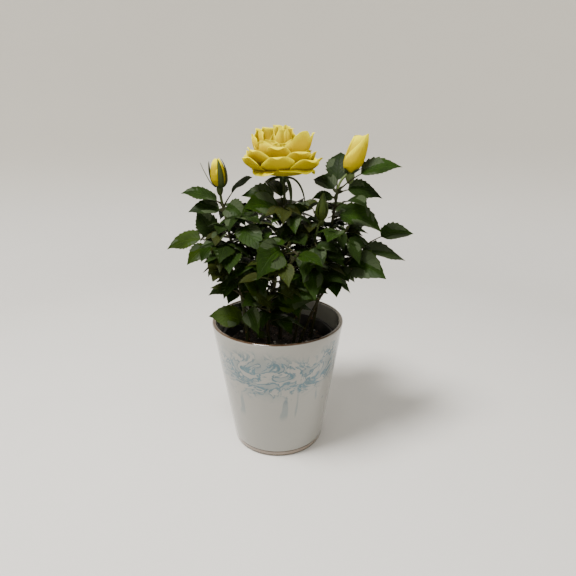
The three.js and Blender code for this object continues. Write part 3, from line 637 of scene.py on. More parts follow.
@functools.lru_cache(maxsize=1)
def blade_pattern():
    """A flat leaflet of unit length with a toothed edge, and a coarser underside folded along the midrib.

    Across, its edges lie at -1 and 1. Its underside carries the second material.
    """
    bm = bmesh.new()
    rows = len(BLADE_ROWS) - 1
    bmesh.ops.create_grid(bm, x_segments=4, y_segments=rows, size=1)
    for vert in bm.verts:
        vert.co.y = BLADE_ROWS[round((vert.co.y + 1) / 2 * rows)]
    ends = (BLADE_ROWS[1] * 0.5, (1 + BLADE_ROWS[-2]) * 0.5)
    sides = [e for e in bm.edges if all(abs(v.co.x) > 0.99 and ends[0] < v.co.y < ends[1] for v in e.verts)]
    for edge in sides:
        back, front = sorted((vert.co.copy() for vert in edge.verts), key=lambda co: co.y)
        grown = bmesh.ops.extrude_edge_only(bm, edges=[edge])["geom"]
        fresh = [part for part in grown if isinstance(part, bmesh.types.BMVert)]
        tip = back.lerp(front, 0.85)
        bmesh.ops.pointmerge(bm, verts=fresh, merge_co=(tip.x * 1.13, tip.y, 0))
    for face in bm.faces:
        face.smooth = True
    under = bmesh.new()
    bmesh.ops.create_grid(under, x_segments=2, y_segments=rows, size=1)
    for vert in under.verts:
        vert.co.y = BLADE_ROWS[round((vert.co.y + 1) / 2 * rows)]
        vert.co.z = -1 if abs(vert.co.x) < 0.5 and 0 < vert.co.y < 1 else 0
    bmesh.ops.reverse_faces(under, faces=under.faces)
    for face in under.faces:
        face.material_index = 1
        face.smooth = True
    lower = pattern_mesh("blade_under", under)
    bm.from_mesh(lower)
    bpy.data.meshes.remove(lower)
    bmesh.ops.remove_doubles(bm, verts=bm.verts, dist=1e-4)
    lay_uv(bm, UV_ACROSS)
    for end in (0, 1):
        tips = [vert for vert in bm.verts if vert.co.y == end]
        bmesh.ops.pointmerge(bm, verts=tips, merge_co=(0, end, 0))
    for edge in bm.edges:
        if len({face.material_index for face in edge.link_faces}) > 1:
            edge.smooth = False
    return pattern_mesh("blade", bm)


@functools.lru_cache(maxsize=None)
def sheet_pattern(columns, rows):
    """A flat sheet, from -1 to 1 across and from 0 to 1 along."""
    bm = bmesh.new()
    bmesh.ops.create_grid(bm, x_segments=columns, y_segments=rows, size=1)
    for vert in bm.verts:
        vert.co.y = (vert.co.y + 1) / 2
    for face in bm.faces:
        face.smooth = True
    lay_uv(bm)
    return pattern_mesh("sheet", bm)


@functools.lru_cache(maxsize=None)
def sleeve_pattern(sides, stretches):
    """A round sleeve of radius 1 from 0 to 1 along Z, with closed ends."""
    bm = bmesh.new()
    bmesh.ops.create_cone(bm, cap_ends=True, segments=sides, radius1=1, radius2=1, depth=1)
    bmesh.ops.translate(bm, verts=bm.verts, vec=(0, 0, 0.5))
    lengthwise = [edge for edge in bm.edges if abs(edge.verts[0].co.z - edge.verts[1].co.z) > 0.5]
    bmesh.ops.subdivide_edges(bm, edges=lengthwise, cuts=stretches - 1, use_grid_fill=True)
    for face in bm.faces:
        face.smooth = len(face.verts) == 4 and abs(face.normal.z) < 0.5
    for edge in bm.edges:
        edge.smooth = all(face.smooth for face in edge.link_faces)
    return pattern_mesh("sleeve", bm)


@functools.lru_cache(maxsize=None)
def ball_pattern(fineness):
    """A ball of radius 1."""
    bm = bmesh.new()
    bmesh.ops.create_icosphere(bm, subdivisions=fineness, radius=1)
    for face in bm.faces:
        face.smooth = True
    return pattern_mesh("ball", bm)


@functools.lru_cache(maxsize=None)
def thorn_pattern():
    """A thin cone of radius 1 from 0 to 1 along Z."""
    bm = bmesh.new()
    bmesh.ops.create_cone(bm, cap_ends=False, segments=6, radius1=1, radius2=0, depth=1)
    bmesh.ops.translate(bm, verts=bm.verts, vec=(0, 0, 0.5))
    lengthwise = [edge for edge in bm.edges if abs(edge.verts[0].co.z - edge.verts[1].co.z) > 0.5]
    bmesh.ops.subdivide_edges(bm, edges=lengthwise, cuts=2)
    bmesh.ops.remove_doubles(bm, verts=bm.verts, dist=1e-4)
    for face in bm.faces:
        face.smooth = True
    return pattern_mesh("thorn", bm)


class Stock:
    """Copies of small patterns, each bent into its place, joined as one piece."""

    def __init__(self):
        self.bm = bmesh.new()
        self.jobs = []

    def add(self, pattern, place, material=0):
        """One more copy. place turns a point of the pattern into a point of the plant, in millimetres."""
        self.bm.from_mesh(pattern)
        self.jobs.append((pattern, place, material))

    def finish(self, name, materials, slot, nodes=()):
        """Bends every copy into place and makes the piece."""
        self.bm.verts.ensure_lookup_table()
        self.bm.faces.ensure_lookup_table()
        first_vert = first_face = 0
        for pattern, place, material in self.jobs:
            for i, vert in enumerate(pattern.vertices):
                self.bm.verts[first_vert + i].co = Vector(place(*vert.co)) * MM
            for i in range(len(pattern.polygons)):
                self.bm.faces[first_face + i].material_index += material
            first_vert += len(pattern.vertices)
            first_face += len(pattern.polygons)
        return make_piece(name, self.bm, materials, slot, nodes)


def make_piece(name, bm, materials, slot, nodes=()):
    """Turns a bmesh into a piece that rides on the pot's body and stands for some CAD nodes."""
    mesh = bpy.data.meshes.new(name)
    bm.to_mesh(mesh)
    bm.free()
    piece = bpy.data.objects.new(name, mesh)
    bpy.context.scene.collection.objects.link(piece)
    for material in materials:
        mesh.materials.append(material)
    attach(piece, "root")
    if nodes:
        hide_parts(*nodes)
    return piece


def thicken(piece, thickness, levels):
    """Gives a sheet its thickness and rounds it."""
    solidify = piece.modifiers.new("thickness", "SOLIDIFY")
    solidify.thickness = thickness * MM
    solidify.offset = 0
    smooth = piece.modifiers.new("roundness", "SUBSURF")
    smooth.levels = levels
    smooth.render_levels = levels


def tube_place(axis, start, end, radius_at):
    """Bends a sleeve along an axis, between two shares of its length."""
    frames = {}

    def place(x, y, z):
        if z not in frames:
            s = start + (end - start) * z
            heading = axis.heading(s)
            across = unit(cross(np.array((1.0, 0.0, 0.0)), heading))
            frames[z] = (axis.point(s), across, cross(across, heading), s)
        at, across, along, s = frames[z]
        size = radius_at(s, math.atan2(y, x)) if x or y else 0
        return at + (across * x + along * y) * size

    return place


# ---- Finishes ----


class Wire:
    """A socket's value: an expression on it adds the Math nodes that work it out."""

    def __init__(self, finish, socket):
        self.finish = finish
        self.socket = socket

    def math(self, operation, *values):
        """A Math node on these values, in their order."""
        return self.finish.node("ShaderNodeMath", {"operation": operation}, dict(enumerate(values)))

    def __add__(self, other):
        return self.math("ADD", self, other)

    __radd__ = __add__

    def __sub__(self, other):
        return self.math("SUBTRACT", self, other)

    def __rsub__(self, other):
        return self.math("SUBTRACT", other, self)

    def __mul__(self, other):
        return self.math("MULTIPLY", self, other)

    __rmul__ = __mul__

    def __truediv__(self, other):
        return self.math("DIVIDE", self, other)

    def __abs__(self):
        return self.math("ABSOLUTE", self)

    def cut(self, low, high):
        """0 where the value is below low and 1 where it is above high, with a smooth passage."""
        settings = {"interpolation_type": "SMOOTHSTEP"}
        sockets = {"Value": self, "From Min": low, "From Max": high}
        return self.finish.node("ShaderNodeMapRange", settings, sockets)

    def within(self, low, high, blur):
        """1 between low and high, falling to 0 over the blur."""
        return self.cut(low - blur, low + blur) * (1 - self.cut(high - blur, high + blur))


class Finish:
    """A material on the bench: its nodes are added one by one."""

    def __init__(self, name):
        self.material = bpy.data.materials.new(name)
        self.material.use_nodes = True
        self.tree = self.material.node_tree
        self.tree.nodes.clear()

    def node(self, kind, settings=None, sockets=None, output=0):
        """Any node: its type, its settings, and the values or wires of its sockets."""
        made = self.tree.nodes.new(kind)
        for key, value in (settings or {}).items():
            setattr(made, key, value)
        for key, value in (sockets or {}).items():
            if isinstance(value, Wire):
                self.tree.links.new(value.socket, made.inputs[key])
            else:
                made.inputs[key].default_value = value
        return Wire(self, made.outputs[output])

    def place(self):
        """Object coordinates: metres from the centre of the pot's underside."""
        return self.node("ShaderNodeTexCoord", output=3)

    def pattern(self):
        """The piece's own UV map, as (across, along)."""
        uv = self.node("ShaderNodeUVMap", {"uv_map": "pattern"})
        return self.axis(uv, 0), self.axis(uv, 1)

    def axis(self, vector, index):
        """One component of a vector."""
        return self.node("ShaderNodeSeparateXYZ", None, {"Vector": vector}, index)

    def stretched(self, vector, scale):
        """A vector with each axis scaled."""
        return self.node("ShaderNodeVectorMath", {"operation": "MULTIPLY"}, {0: vector, 1: scale})

    def noise(self, vector, scale, detail=2.0, roughness=0.5, distortion=0.0):
        """Cloudy noise from 0 to 1."""
        sockets = {
            "Vector": vector, "Scale": scale, "Detail": detail, "Roughness": roughness,
            "Distortion": distortion,
        }
        return self.node("ShaderNodeTexNoise", None, sockets)

    def mix(self, share, first, second):
        """A colour between two."""
        return self.node("ShaderNodeMix", {"data_type": "RGBA"}, {0: share, 6: first, 7: second}, 2)

    def bump(self, height, distance, strength=1.0):
        """A surface normal from a height, whose full range stands for a distance in metres."""
        return self.node("ShaderNodeBump", None, {"Height": height, "Distance": distance, "Strength": strength})

    def done(self, **sockets):
        """Ends in one Principled shader. Socket names are given with underscores for spaces."""
        named = {key.replace("_", " "): value for key, value in sockets.items()}
        shader = self.node("ShaderNodeBsdfPrincipled", None, named)
        output = self.tree.nodes.new("ShaderNodeOutputMaterial")
        self.tree.links.new(shader.socket, output.inputs["Surface"])
        return self.material


def rgba(colour, strength=1.0):
    """A colour as four numbers, made darker or lighter."""
    return (*(min(1.0, value * strength) for value in colour[:3]), 1.0)


LIP_LINE = (0.0010, 0.0006)  # where the lip's line begins and is full, in metres below the rim
FOOT_LINES = ((0.0010, 0.0022), (0.0050, 0.0062))  # lower and upper edge of each line, in metres over the foot
LINE_BLUR = 0.0003


def glaze_finish(settings):
    """White glaze with a marbled band of pale colour, a brown line on the lip and two over the foot."""
    finish = Finish("white_glaze")
    place = finish.place()
    height = finish.axis(place, 2)
    broad = finish.noise(place, 26, 3, 0.55)
    fine = finish.noise(place, 90, 4, 0.6, 0.6)
    shifted = height + (broad - 0.5) * 0.05
    band = shifted.within(settings.band_low + 0.012, settings.band_high - 0.006, 0.012)
    swirl = finish.noise(finish.stretched(place, (1, 1, 1.5)), 42, 4, 0.55, 2.2)
    veins = (1 - abs(swirl - 0.5) * 14).cut(0, 1) * band
    wash = swirl.cut(0.46, 0.6) * band * (0.35 + 0.5 * fine)
    runs = finish.noise(finish.stretched(place, (1, 1, 0.16)), 75, 2, 0.5)
    drips = runs.cut(0.6, 0.66) * height.within(settings.band_low - 0.018, settings.band_low + 0.022, 0.006)
    spots = finish.node("ShaderNodeTexVoronoi", None, {"Vector": place, "Scale": 85.0, "Randomness": 1.0})
    dots = (1 - spots.cut(0.1, 0.16)) * fine.cut(0.5, 0.56) * height.within(0.04, 0.1, 0.01)
    level = finish.stretched(place, (1, 1, 0))
    radius = finish.node("ShaderNodeVectorMath", {"operation": "LENGTH"}, {0: level}, 1)
    surface = height * ((settings.rim_radius - settings.foot_radius) / settings.height) + settings.foot_radius
    outside = (radius - surface + settings.wall).cut(settings.wall * 0.3, settings.wall * 0.7)
    share = (wash * 0.8 + veins * 0.95 + drips * 0.5 + dots * 0.5).cut(0, 1.15) * outside
    # Painted shade: the glaze and marbling colours are set darker than the white glaze and its marbling are,
    # standing in for the dimmer light on the pot.
    clean = finish.mix(fine, rgba(settings.glaze, 0.97), rgba(settings.glaze, 1.02))
    blue = finish.mix(fine.cut(0.35, 0.65), rgba(settings.marble), rgba(settings.marble, 0.8))
    marbled = finish.mix(share, clean, blue)
    worn = 0.85 + 0.15 * finish.noise(place, 300, 2).cut(0.4, 0.6)
    top = height.cut(settings.height - LIP_LINE[0], settings.height - LIP_LINE[1]) * worn
    low, high = FOOT_LINES
    foot = (height.within(*low, LINE_BLUR) + height.within(*high, LINE_BLUR)) * worn
    beige = height.within(low[1], high[0], LINE_BLUR)
    banded = finish.mix(beige * 0.55, marbled, rgba(settings.line, 3.2))
    lined = finish.mix((top + foot).cut(0, 1), banded, rgba(settings.line))
    relief = finish.bump(fine + 2 * broad, 0.00012, 0.35)
    return finish.done(
        Base_Color=lined, Roughness=0.11 + 0.08 * fine, Normal=relief, Coat_Weight=0.4, Coat_Roughness=0.06,
    )


def plastic_finish():
    """Black moulded plastic, dulled by dust and watering."""
    finish = Finish("nursery_plastic")
    place = finish.place()
    grain = finish.noise(place, 900, 3)
    dust = finish.noise(place, 60, 4, 0.6).cut(0.45, 0.75)
    colour = finish.mix(dust * 0.5, (0.012, 0.012, 0.013, 1), (0.06, 0.05, 0.042, 1))
    return finish.done(Base_Color=colour, Roughness=0.42 + 0.3 * dust, Normal=finish.bump(grain, 0.0001))


def soil_finish(name, dark, light, scale):
    """Crumbly matter: dark and light grains."""
    finish = Finish(name)
    place = finish.place()
    grains = finish.noise(place, scale, 5, 0.7)
    patches = finish.noise(place, scale / 6, 2)
    colour = finish.mix((grains * 0.7 + patches * 0.5).cut(0.4, 0.85), rgba(dark), rgba(light))
    return finish.done(Base_Color=colour, Roughness=0.85 + 0.12 * grains, Normal=finish.bump(grains, 0.0006))


def bark_finish(name, young, old, streaks):
    """Green bark with lengthwise streaks and fine pores."""
    finish = Finish(name)
    place = finish.place()
    along = finish.noise(finish.stretched(place, (1, 1, 0.12)), streaks, 4, 0.6)
    pores = finish.noise(place, streaks * 2.2, 3)
    age = (finish.noise(place, 45, 2) * 0.6 + along * 0.6).cut(0.45, 0.75)
    colour = finish.mix(age, rgba(young), rgba(old))
    spotted = finish.mix(pores.cut(0.62, 0.7) * 0.5, colour, rgba(old, 0.6))
    return finish.done(
        Base_Color=spotted, Roughness=0.45 + 0.25 * pores, Normal=finish.bump(along + pores * 0.5, 0.0004),
        Specular_IOR_Level=0.12,
    )


VEINS = 8  # side veins on each side of a midrib


def leaf_finish(name, colour, gloss):
    """The upper side of a leaf: pale midrib and side veins that sink between raised fields."""
    finish = Finish(name)
    across, along = finish.pattern()
    out = abs(across - 0.5) / UV_ACROSS
    wander = finish.noise(finish.place(), 160, 2)
    step = along * VEINS - out * 2.4 + wander * 0.25
    gap = abs(finish.node("ShaderNodeMath", {"operation": "FRACT"}, {0: step}) - 0.5) * 2
    side_veins = gap.cut(0.8, 0.97) * (1 - out.cut(0.75, 1.0))
    midrib = 1 - out.cut(0.015, 0.075)
    veins = (side_veins * 0.6 + midrib).cut(0, 1)
    blotch = finish.noise(finish.place(), 70, 3, 0.6)
    field = finish.mix(blotch.cut(0.3, 0.7), rgba(colour, 0.62), rgba(colour, 1.12))
    edged = finish.mix(out.cut(0.8, 1.1) * 0.35, field, rgba((colour[0] * 1.7, colour[1] * 1.1, colour[2])))
    veined = finish.mix(veins * 0.45, edged, rgba((colour[0] * 1.5, colour[1] * 1.45, colour[2] * 1.5)))
    relief = finish.bump((1 - veins) + 0.25 * wander, 0.0005, 0.8)
    return finish.done(
        Base_Color=veined, Roughness=gloss + 0.18 * blotch, Normal=relief, Specular_IOR_Level=0.05,
    )


def underside_finish(colour):
    """The underside of a leaf: paler and duller, with the veins standing out."""
    finish = Finish("leaf_under")
    across, along = finish.pattern()
    out = abs(across - 0.5) / UV_ACROSS
    step = along * VEINS - out * 2.4
    gap = abs(finish.node("ShaderNodeMath", {"operation": "FRACT"}, {0: step}) - 0.5) * 2
    veins = (gap.cut(0.78, 0.97) * 0.6 + (1 - out.cut(0.02, 0.1))).cut(0, 1)
    blotch = finish.noise(finish.place(), 90, 3)
    field = finish.mix(blotch, rgba(colour, 0.85), rgba(colour, 1.15))
    veined = finish.mix(veins * 0.5, field, rgba(colour, 1.5))
    return finish.done(
        Base_Color=veined, Roughness=0.6 + 0.1 * blotch, Normal=finish.bump(veins, 0.0004),
        Specular_IOR_Level=0.15,
    )


# Heights over the ground, in metres, between which the painted shade low on each kind of flower fades, so that
# its colour grows lighter upward.
BLOOM_SHADE_HEIGHTS = (0.256, 0.280)
BUD_SHADE_HEIGHTS = (0.240, 0.275)
GREEN_BUD_SHADE_HEIGHTS = (0.215, 0.24)


def petal_finish(name, depth, rim, heights):
    """A petal: deep at its root and pale at its rim, partly its own colour and partly painted shade in the
    depth of the flower, with fine veins along it, and darker low on the flower as painted shade.

    heights gives where the painted shade low on the flower begins and ends to fade, so that the colour grows
    lighter upward, in metres over the ground.
    """
    finish = Finish(name)
    across, along = finish.pattern()
    flow = finish.node("ShaderNodeCombineXYZ", None, {"X": across * 26, "Y": along * 2.5})
    veins = finish.noise(flow, 1.6, 3, 0.55)
    place = finish.place()
    cloud = finish.noise(place, 110, 3)
    # Painted shade: rise makes the colour darker low on the flower and lighter upward between these heights,
    # and a little paler toward the top.
    rise = finish.axis(place, 2).cut(*heights)
    # The deep root colour and the pale rim are partly the petals' own colour and partly painted shade, deeper
    # in the shaded hollows of the flower.
    paleness_and_painted_shade = along + (cloud - 0.5) * 0.3 + (veins - 0.5) * 0.26 + rise * 0.05
    deep = finish.mix(rise, rgba(depth, 0.56), rgba((depth[0] * 1.08, depth[1] * 1.01, depth[2])))
    colour = finish.mix(paleness_and_painted_shade.cut(0.68, 1.04), deep, rgba(rim))
    relief = finish.bump(veins + 0.4 * cloud, 0.0003, 0.6)
    return finish.done(
        Base_Color=colour, Roughness=0.62 + 0.16 * veins, Normal=relief, Specular_IOR_Level=0.02,
        Subsurface_Weight=0.12, Subsurface_Radius=(1.0, 0.85, 0.02), Subsurface_Scale=0.004,
    )


def stage_finish(settings):
    """Matt paper: the floor, and the wall that it curves up into."""
    finish = Finish("stage_paper")
    place = finish.place()
    mottle = finish.noise(place, 9, 4, 0.6)
    rise = finish.axis(place, 2).cut(0.02, 0.3)
    paper = finish.mix(rise, rgba(settings.floor), rgba(settings.wall))
    shaded = finish.mix(mottle * 0.12, paper, rgba(settings.wall, 0.8))
    grain = finish.noise(place, 700, 2)
    return finish.done(Base_Color=shaded, Roughness=0.8 + 0.1 * mottle, Normal=finish.bump(grain, 0.0001))


# ---- Settings ----

POT_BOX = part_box("pot")


def colour_prop(name, description, default):
    """A colour that a user can change."""
    return bpy.props.FloatVectorProperty(
        name=name, description=description, default=default, subtype="COLOR", size=3, min=0, max=1
    )


def number_prop(name, description, default, unit="LENGTH"):
    """A number that a user can change: a length in metres, or another unit."""
    return bpy.props.FloatProperty(name=name, description=description, default=default, min=0, unit=unit)


class RosePotSettings(bpy.types.PropertyGroup):
    """Sizes and colours of the glazed outer pot"""

    height: number_prop("Height", "Height of the glazed pot", POT_BOX[1].z)
    rim_radius: number_prop("Rim radius", "Outer radius at the rim", POT_BOX[1].x)
    foot_radius: number_prop("Foot radius", "Outer radius at the foot", 0.044)
    wall: number_prop("Wall", "Thickness of the wall", 0.0036)
    floor: number_prop("Floor", "Thickness of the floor", 0.007)
    band_low: number_prop("Band from", "Lower edge of the marbled band", 0.062)
    band_high: number_prop("Band to", "Upper edge of the marbled band", 0.113)
    # Painted shade: the glaze is white, and the glaze and marbling colours are greys set darker to stand in for
    # the dimmer light on the pot.
    glaze: colour_prop("Glaze", "Colour of the glaze", (0.262, 0.26, 0.24))
    marble: colour_prop("Marbling", "Colour of the marbled band", (0.045, 0.118, 0.155))
    line: colour_prop("Lines", "Colour of the lines on the lip and over the foot", (0.055, 0.030, 0.014))


class RoseFoliageSettings(bpy.types.PropertyGroup):
    """Colours and habit of the canes and leaves"""

    dark: colour_prop("Dark green", "Leaves in the depth of the plant", (0.0095, 0.0205, 0.0030))
    mid: colour_prop("Mid green", "Most leaves", (0.0125, 0.0300, 0.0026))
    olive: colour_prop("Olive green", "Ageing leaves", (0.0230, 0.0330, 0.0050))
    fresh: colour_prop("Fresh green", "Young leaves", (0.0190, 0.0370, 0.0020))
    bronze: colour_prop("Bronze", "Leaves with a brown tint", (0.0210, 0.0270, 0.0050))
    under: colour_prop("Underside", "Undersides of the leaves", (0.0290, 0.0440, 0.0170))
    cane: colour_prop("Cane", "Young green bark", (0.0190, 0.0290, 0.0060))
    old_cane: colour_prop("Old cane", "Older bark", (0.0220, 0.0170, 0.0075))
    waviness: number_prop("Waviness", "How far the blades' edges wave, over their half width", 0.12, "NONE")


class RoseFlowerSettings(bpy.types.PropertyGroup):
    """Colours and ruffles of the bloom and the buds"""

    rim: colour_prop("Petal rim", "Pale rims of the petals", (0.90, 0.80, 0.0))
    # The deep root colour is partly the petals' own colour and partly painted shade in the depth of the flower.
    depth: colour_prop("Petal root", "Deep colour at the petals' roots", (0.60, 0.465, 0.0))
    bud: colour_prop("Bud", "Petals of the coloured buds", (0.48, 0.38, 0.0))
    sepal: colour_prop("Sepals", "Sepals and flower stalks", (0.020, 0.034, 0.009))
    young: colour_prop("Green bud", "Petals of the green bud", (0.0140, 0.0220, 0.0020))
    ruffle: number_prop("Ruffle", "How far the petals' rims wave", 0.0018)


class RoseStageSettings(bpy.types.PropertyGroup):
    """Colours and light of the stage"""

    floor: colour_prop("Floor", "Floor round the pot", (0.72, 0.71, 0.69))
    wall: colour_prop("Wall", "Wall that the floor curves up into", (0.55, 0.53, 0.48))
    key: number_prop("Key light", "Power of the key light", 30, "POWER")
    fill: number_prop("Fill light", "Power of the fill light", 2, "POWER")
    ambient: number_prop("Ambient", "Strength of the sky", 0.38, "NONE")


# ---- Pots and soil ----


def turn(profile, steps):
    """Spins a profile of (radius, height) in metres round the upright axis."""
    bm = bmesh.new()
    verts = [bm.verts.new((radius, 0, height)) for radius, height in profile]
    edges = [bm.edges.new(pair) for pair in zip(verts, verts[1:])]
    whole = {"cent": (0, 0, 0), "axis": (0, 0, 1), "angle": math.tau, "steps": steps, "use_merge": True}
    bmesh.ops.spin(bm, geom=verts + edges, **whole)
    bmesh.ops.remove_doubles(bm, verts=bm.verts, dist=1e-6)
    bmesh.ops.recalc_face_normals(bm, faces=bm.faces)
    for face in bm.faces:
        face.smooth = True
    return bm


def arc(centre, radius, start, end, steps=6):
    """Points of a round stretch, with its angles in degrees."""
    points = []
    for i in range(steps + 1):
        angle = math.radians(start + (end - start) * i / steps)
        points.append((centre[0] + radius * math.cos(angle), centre[1] + radius * math.sin(angle)))
    return points


def climb(start, end, steps):
    """Points of a straight stretch, without its two ends."""
    return [
        (start[0] + (end[0] - start[0]) * i / steps, start[1] + (end[1] - start[1]) * i / steps)
        for i in range(1, steps)
    ]


def sharpen(bm, degrees):
    """Marks the edges that turn by more than an angle as sharp."""
    limit = math.radians(degrees)
    for edge in bm.edges:
        if len(edge.link_faces) == 2 and edge.calc_face_angle() > limit:
            edge.smooth = False


class ROSE_OT_glazed_pot(bpy.types.Operator):
    """Make the glazed outer pot"""

    bl_idname = "rose.glazed_pot"
    bl_label = "Glazed Pot"

    def execute(self, context):
        pot = context.scene.rose_pot
        rim, foot, high, wall = pot.rim_radius, pot.foot_radius, pot.height, pot.wall
        lip = wall / 2

        def outer(z):
            return foot + (rim - foot) * z / high

        low = [(0, 0.0008), (foot - 0.006, 0.0008), *arc((foot - 0.005, 0.0008), 0.0008, 180, 270, 3)]
        heel = arc((foot - 0.0016, 0.0016), 0.0016, 270, 350, 5)
        mouth = arc((rim - lip, high - lip), lip, 0, 180, 10)
        well = arc((outer(pot.floor) - wall - 0.004, pot.floor + 0.004), 0.004, 0, -90, 6)
        profile = [*low, *heel, *climb(heel[-1], mouth[0], 10), *mouth, *climb(mouth[-1], well[0], 10), *well]
        profile.append((0, pot.floor))
        bm = turn(profile, 128)
        make_piece("glazed_pot", bm, [glaze_finish(pot)], "glaze", ["pot"])
        return {"FINISHED"}


class ROSE_OT_nursery_pot(bpy.types.Operator):
    """Make the plastic nursery pot inside the glazed pot"""

    bl_idname = "rose.nursery_pot"
    bl_label = "Nursery Pot"

    def execute(self, context):
        top = NURSERY_FOOT + NURSERY["height"]
        under = top - NURSERY["collar_height"]
        bottom = NURSERY_FOOT + NURSERY["wall"]
        rim, wall, collar = NURSERY["rim"], NURSERY["wall"], NURSERY["collar"]
        profile = [
            (0, NURSERY_FOOT), (NURSERY["foot"] - 1, NURSERY_FOOT), (NURSERY["foot"], NURSERY_FOOT + 1),
            (nursery_radius(under), under), (nursery_radius(under) + collar - 0.4, under),
            (nursery_radius(under) + collar, under + 0.4), (rim + collar, top - 0.5),
            (rim + collar - 0.5, top), (rim - wall + 0.5, top), (rim - wall, top - 0.5),
            (nursery_radius(bottom) - wall, bottom), (0, bottom),
        ]
        bm = turn([(radius * MM, height * MM) for radius, height in profile], 96)
        sharpen(bm, 30)
        make_piece("nursery_pot_shell", bm, [plastic_finish()], "nursery_plastic", ["nursery_pot"])
        return {"FINISHED"}


def nursery_radius(z):
    """The nursery pot's outer radius at a height, in millimetres."""
    return NURSERY["foot"] + (NURSERY["rim"] - NURSERY["foot"]) * (z - NURSERY_FOOT) / NURSERY["height"]


def soil_height(x, y):
    """The height of the crumbly soil at a place, in millimetres: a groove at the wall, a mound at each cane."""
    edge = nursery_radius(SOIL_TOP) - NURSERY["wall"] - GAP
    groove = SOIL_GROOVE * ease(edge - 6, edge, math.hypot(x, y))
    lumps = noise.fractal(Vector((x, y, 0)) * 0.12, 1.0, 2.0, 5) * 1.3
    mound = 0
    for shoot in SHOOTS:
        away = math.hypot(x - shoot["foot"][0], y - shoot["foot"][1])
        mound = max(mound, 1.5 * math.exp(-((away / 5) ** 2)))
    return SOIL_TOP - groove + lumps * (1 - mound / 2) + mound


class ROSE_OT_soil(bpy.types.Operator):
    """Make the potting soil and its crumbs"""

    bl_idname = "rose.soil"
    bl_label = "Potting Soil"

    def execute(self, context):
        foot = NURSERY_FOOT + NURSERY["wall"] + GAP
        edge_low = nursery_radius(foot) - NURSERY["wall"] - GAP
        edge = nursery_radius(SOIL_TOP - SOIL_GROOVE) - NURSERY["wall"] - GAP
        rings = 26
        top = [(edge * (1 - i / rings), SOIL_TOP) for i in range(rings + 1)]
        profile = [(0, foot), (edge_low, foot), (edge, SOIL_TOP - SOIL_GROOVE - 2), *top]
        bm = turn([(radius * MM, height * MM) for radius, height in profile], 120)
        for vert in bm.verts:
            if vert.co.z > (SOIL_TOP - 1) * MM:
                vert.co.z = soil_height(vert.co.x / MM, vert.co.y / MM) * MM
        peat = soil_finish("peat", (0.006, 0.0045, 0.0035), (0.035, 0.024, 0.017), 700)
        make_piece("potting_soil", bm, [peat], "soil", ["soil"])
        self.scatter_crumbs(edge, peat)
        return {"FINISHED"}

    def scatter_crumbs(self, edge, peat):
        """Loose crumbs of peat, bark and a few white grains on the soil."""
        throws = Dice(900)
        stock = Stock()
        for i in range(520):
            reach, bearing = (edge - 3) * math.sqrt(throws()), throws(0, 360)
            x, y, _ = toward(bearing) * reach
            size = throws(0.5, 1.7)
            flat, turned = throws(0.4, 0.9), throws(0, math.pi)
            at = (x, y, soil_height(x, y) + size * flat * 0.5)
            kind = 2 if i % 23 == 0 else int(throws() < 0.35)
            stock.add(ball_pattern(1), self.crumb_place(at, size, flat, turned, i), kind)
        bark = soil_finish("bark_chips", (0.035, 0.022, 0.013), (0.12, 0.08, 0.05), 400)
        grit = soil_finish("white_grit", (0.30, 0.28, 0.25), (0.55, 0.53, 0.5), 900)
        stock.finish("soil_crumbs", [peat, bark, grit], "soil")

    def crumb_place(self, at, size, flat, turned, index):
        """Turns a ball into one rough crumb."""

        def place(x, y, z):
            rough = 1 + 0.5 * noise.noise(Vector((x * 1.3 + index, y * 1.3, z * 1.3)))
            along, over = x * size * rough * 1.3, y * size * rough
            return (
                at[0] + along * math.cos(turned) - over * math.sin(turned),
                at[1] + along * math.sin(turned) + over * math.cos(turned),
                at[2] + z * size * flat * rough,
            )

        return place


# ---- Canes, twigs and leaves ----


def cane_radius(mass):
    """The radius of a cane along and round it: its taper, ribs, bark lumps and the knots where leaves sit."""
    thick, thin = mass.shoot["radius"]
    knots = [k for k in np.arange(0.06, 1.0, 0.085)]

    def radius_at(s, angle):
        taper = thick + (thin - thick) * s
        knot = max(math.exp(-(((s - k) * mass.axis.length / 1.6) ** 2)) for k in knots)
        ribs = 0.05 * math.cos(5 * angle + s * 9)
        spot = Vector((math.cos(angle) * 2, math.sin(angle) * 2, s * mass.axis.length * 0.35 + mass.index * 7))
        flare = 0.35 * math.exp(-s * mass.axis.length / 4)
        return taper * (0.98 + 0.16 * knot + ribs + 0.1 * noise.noise(spot) + flare)

    return radius_at


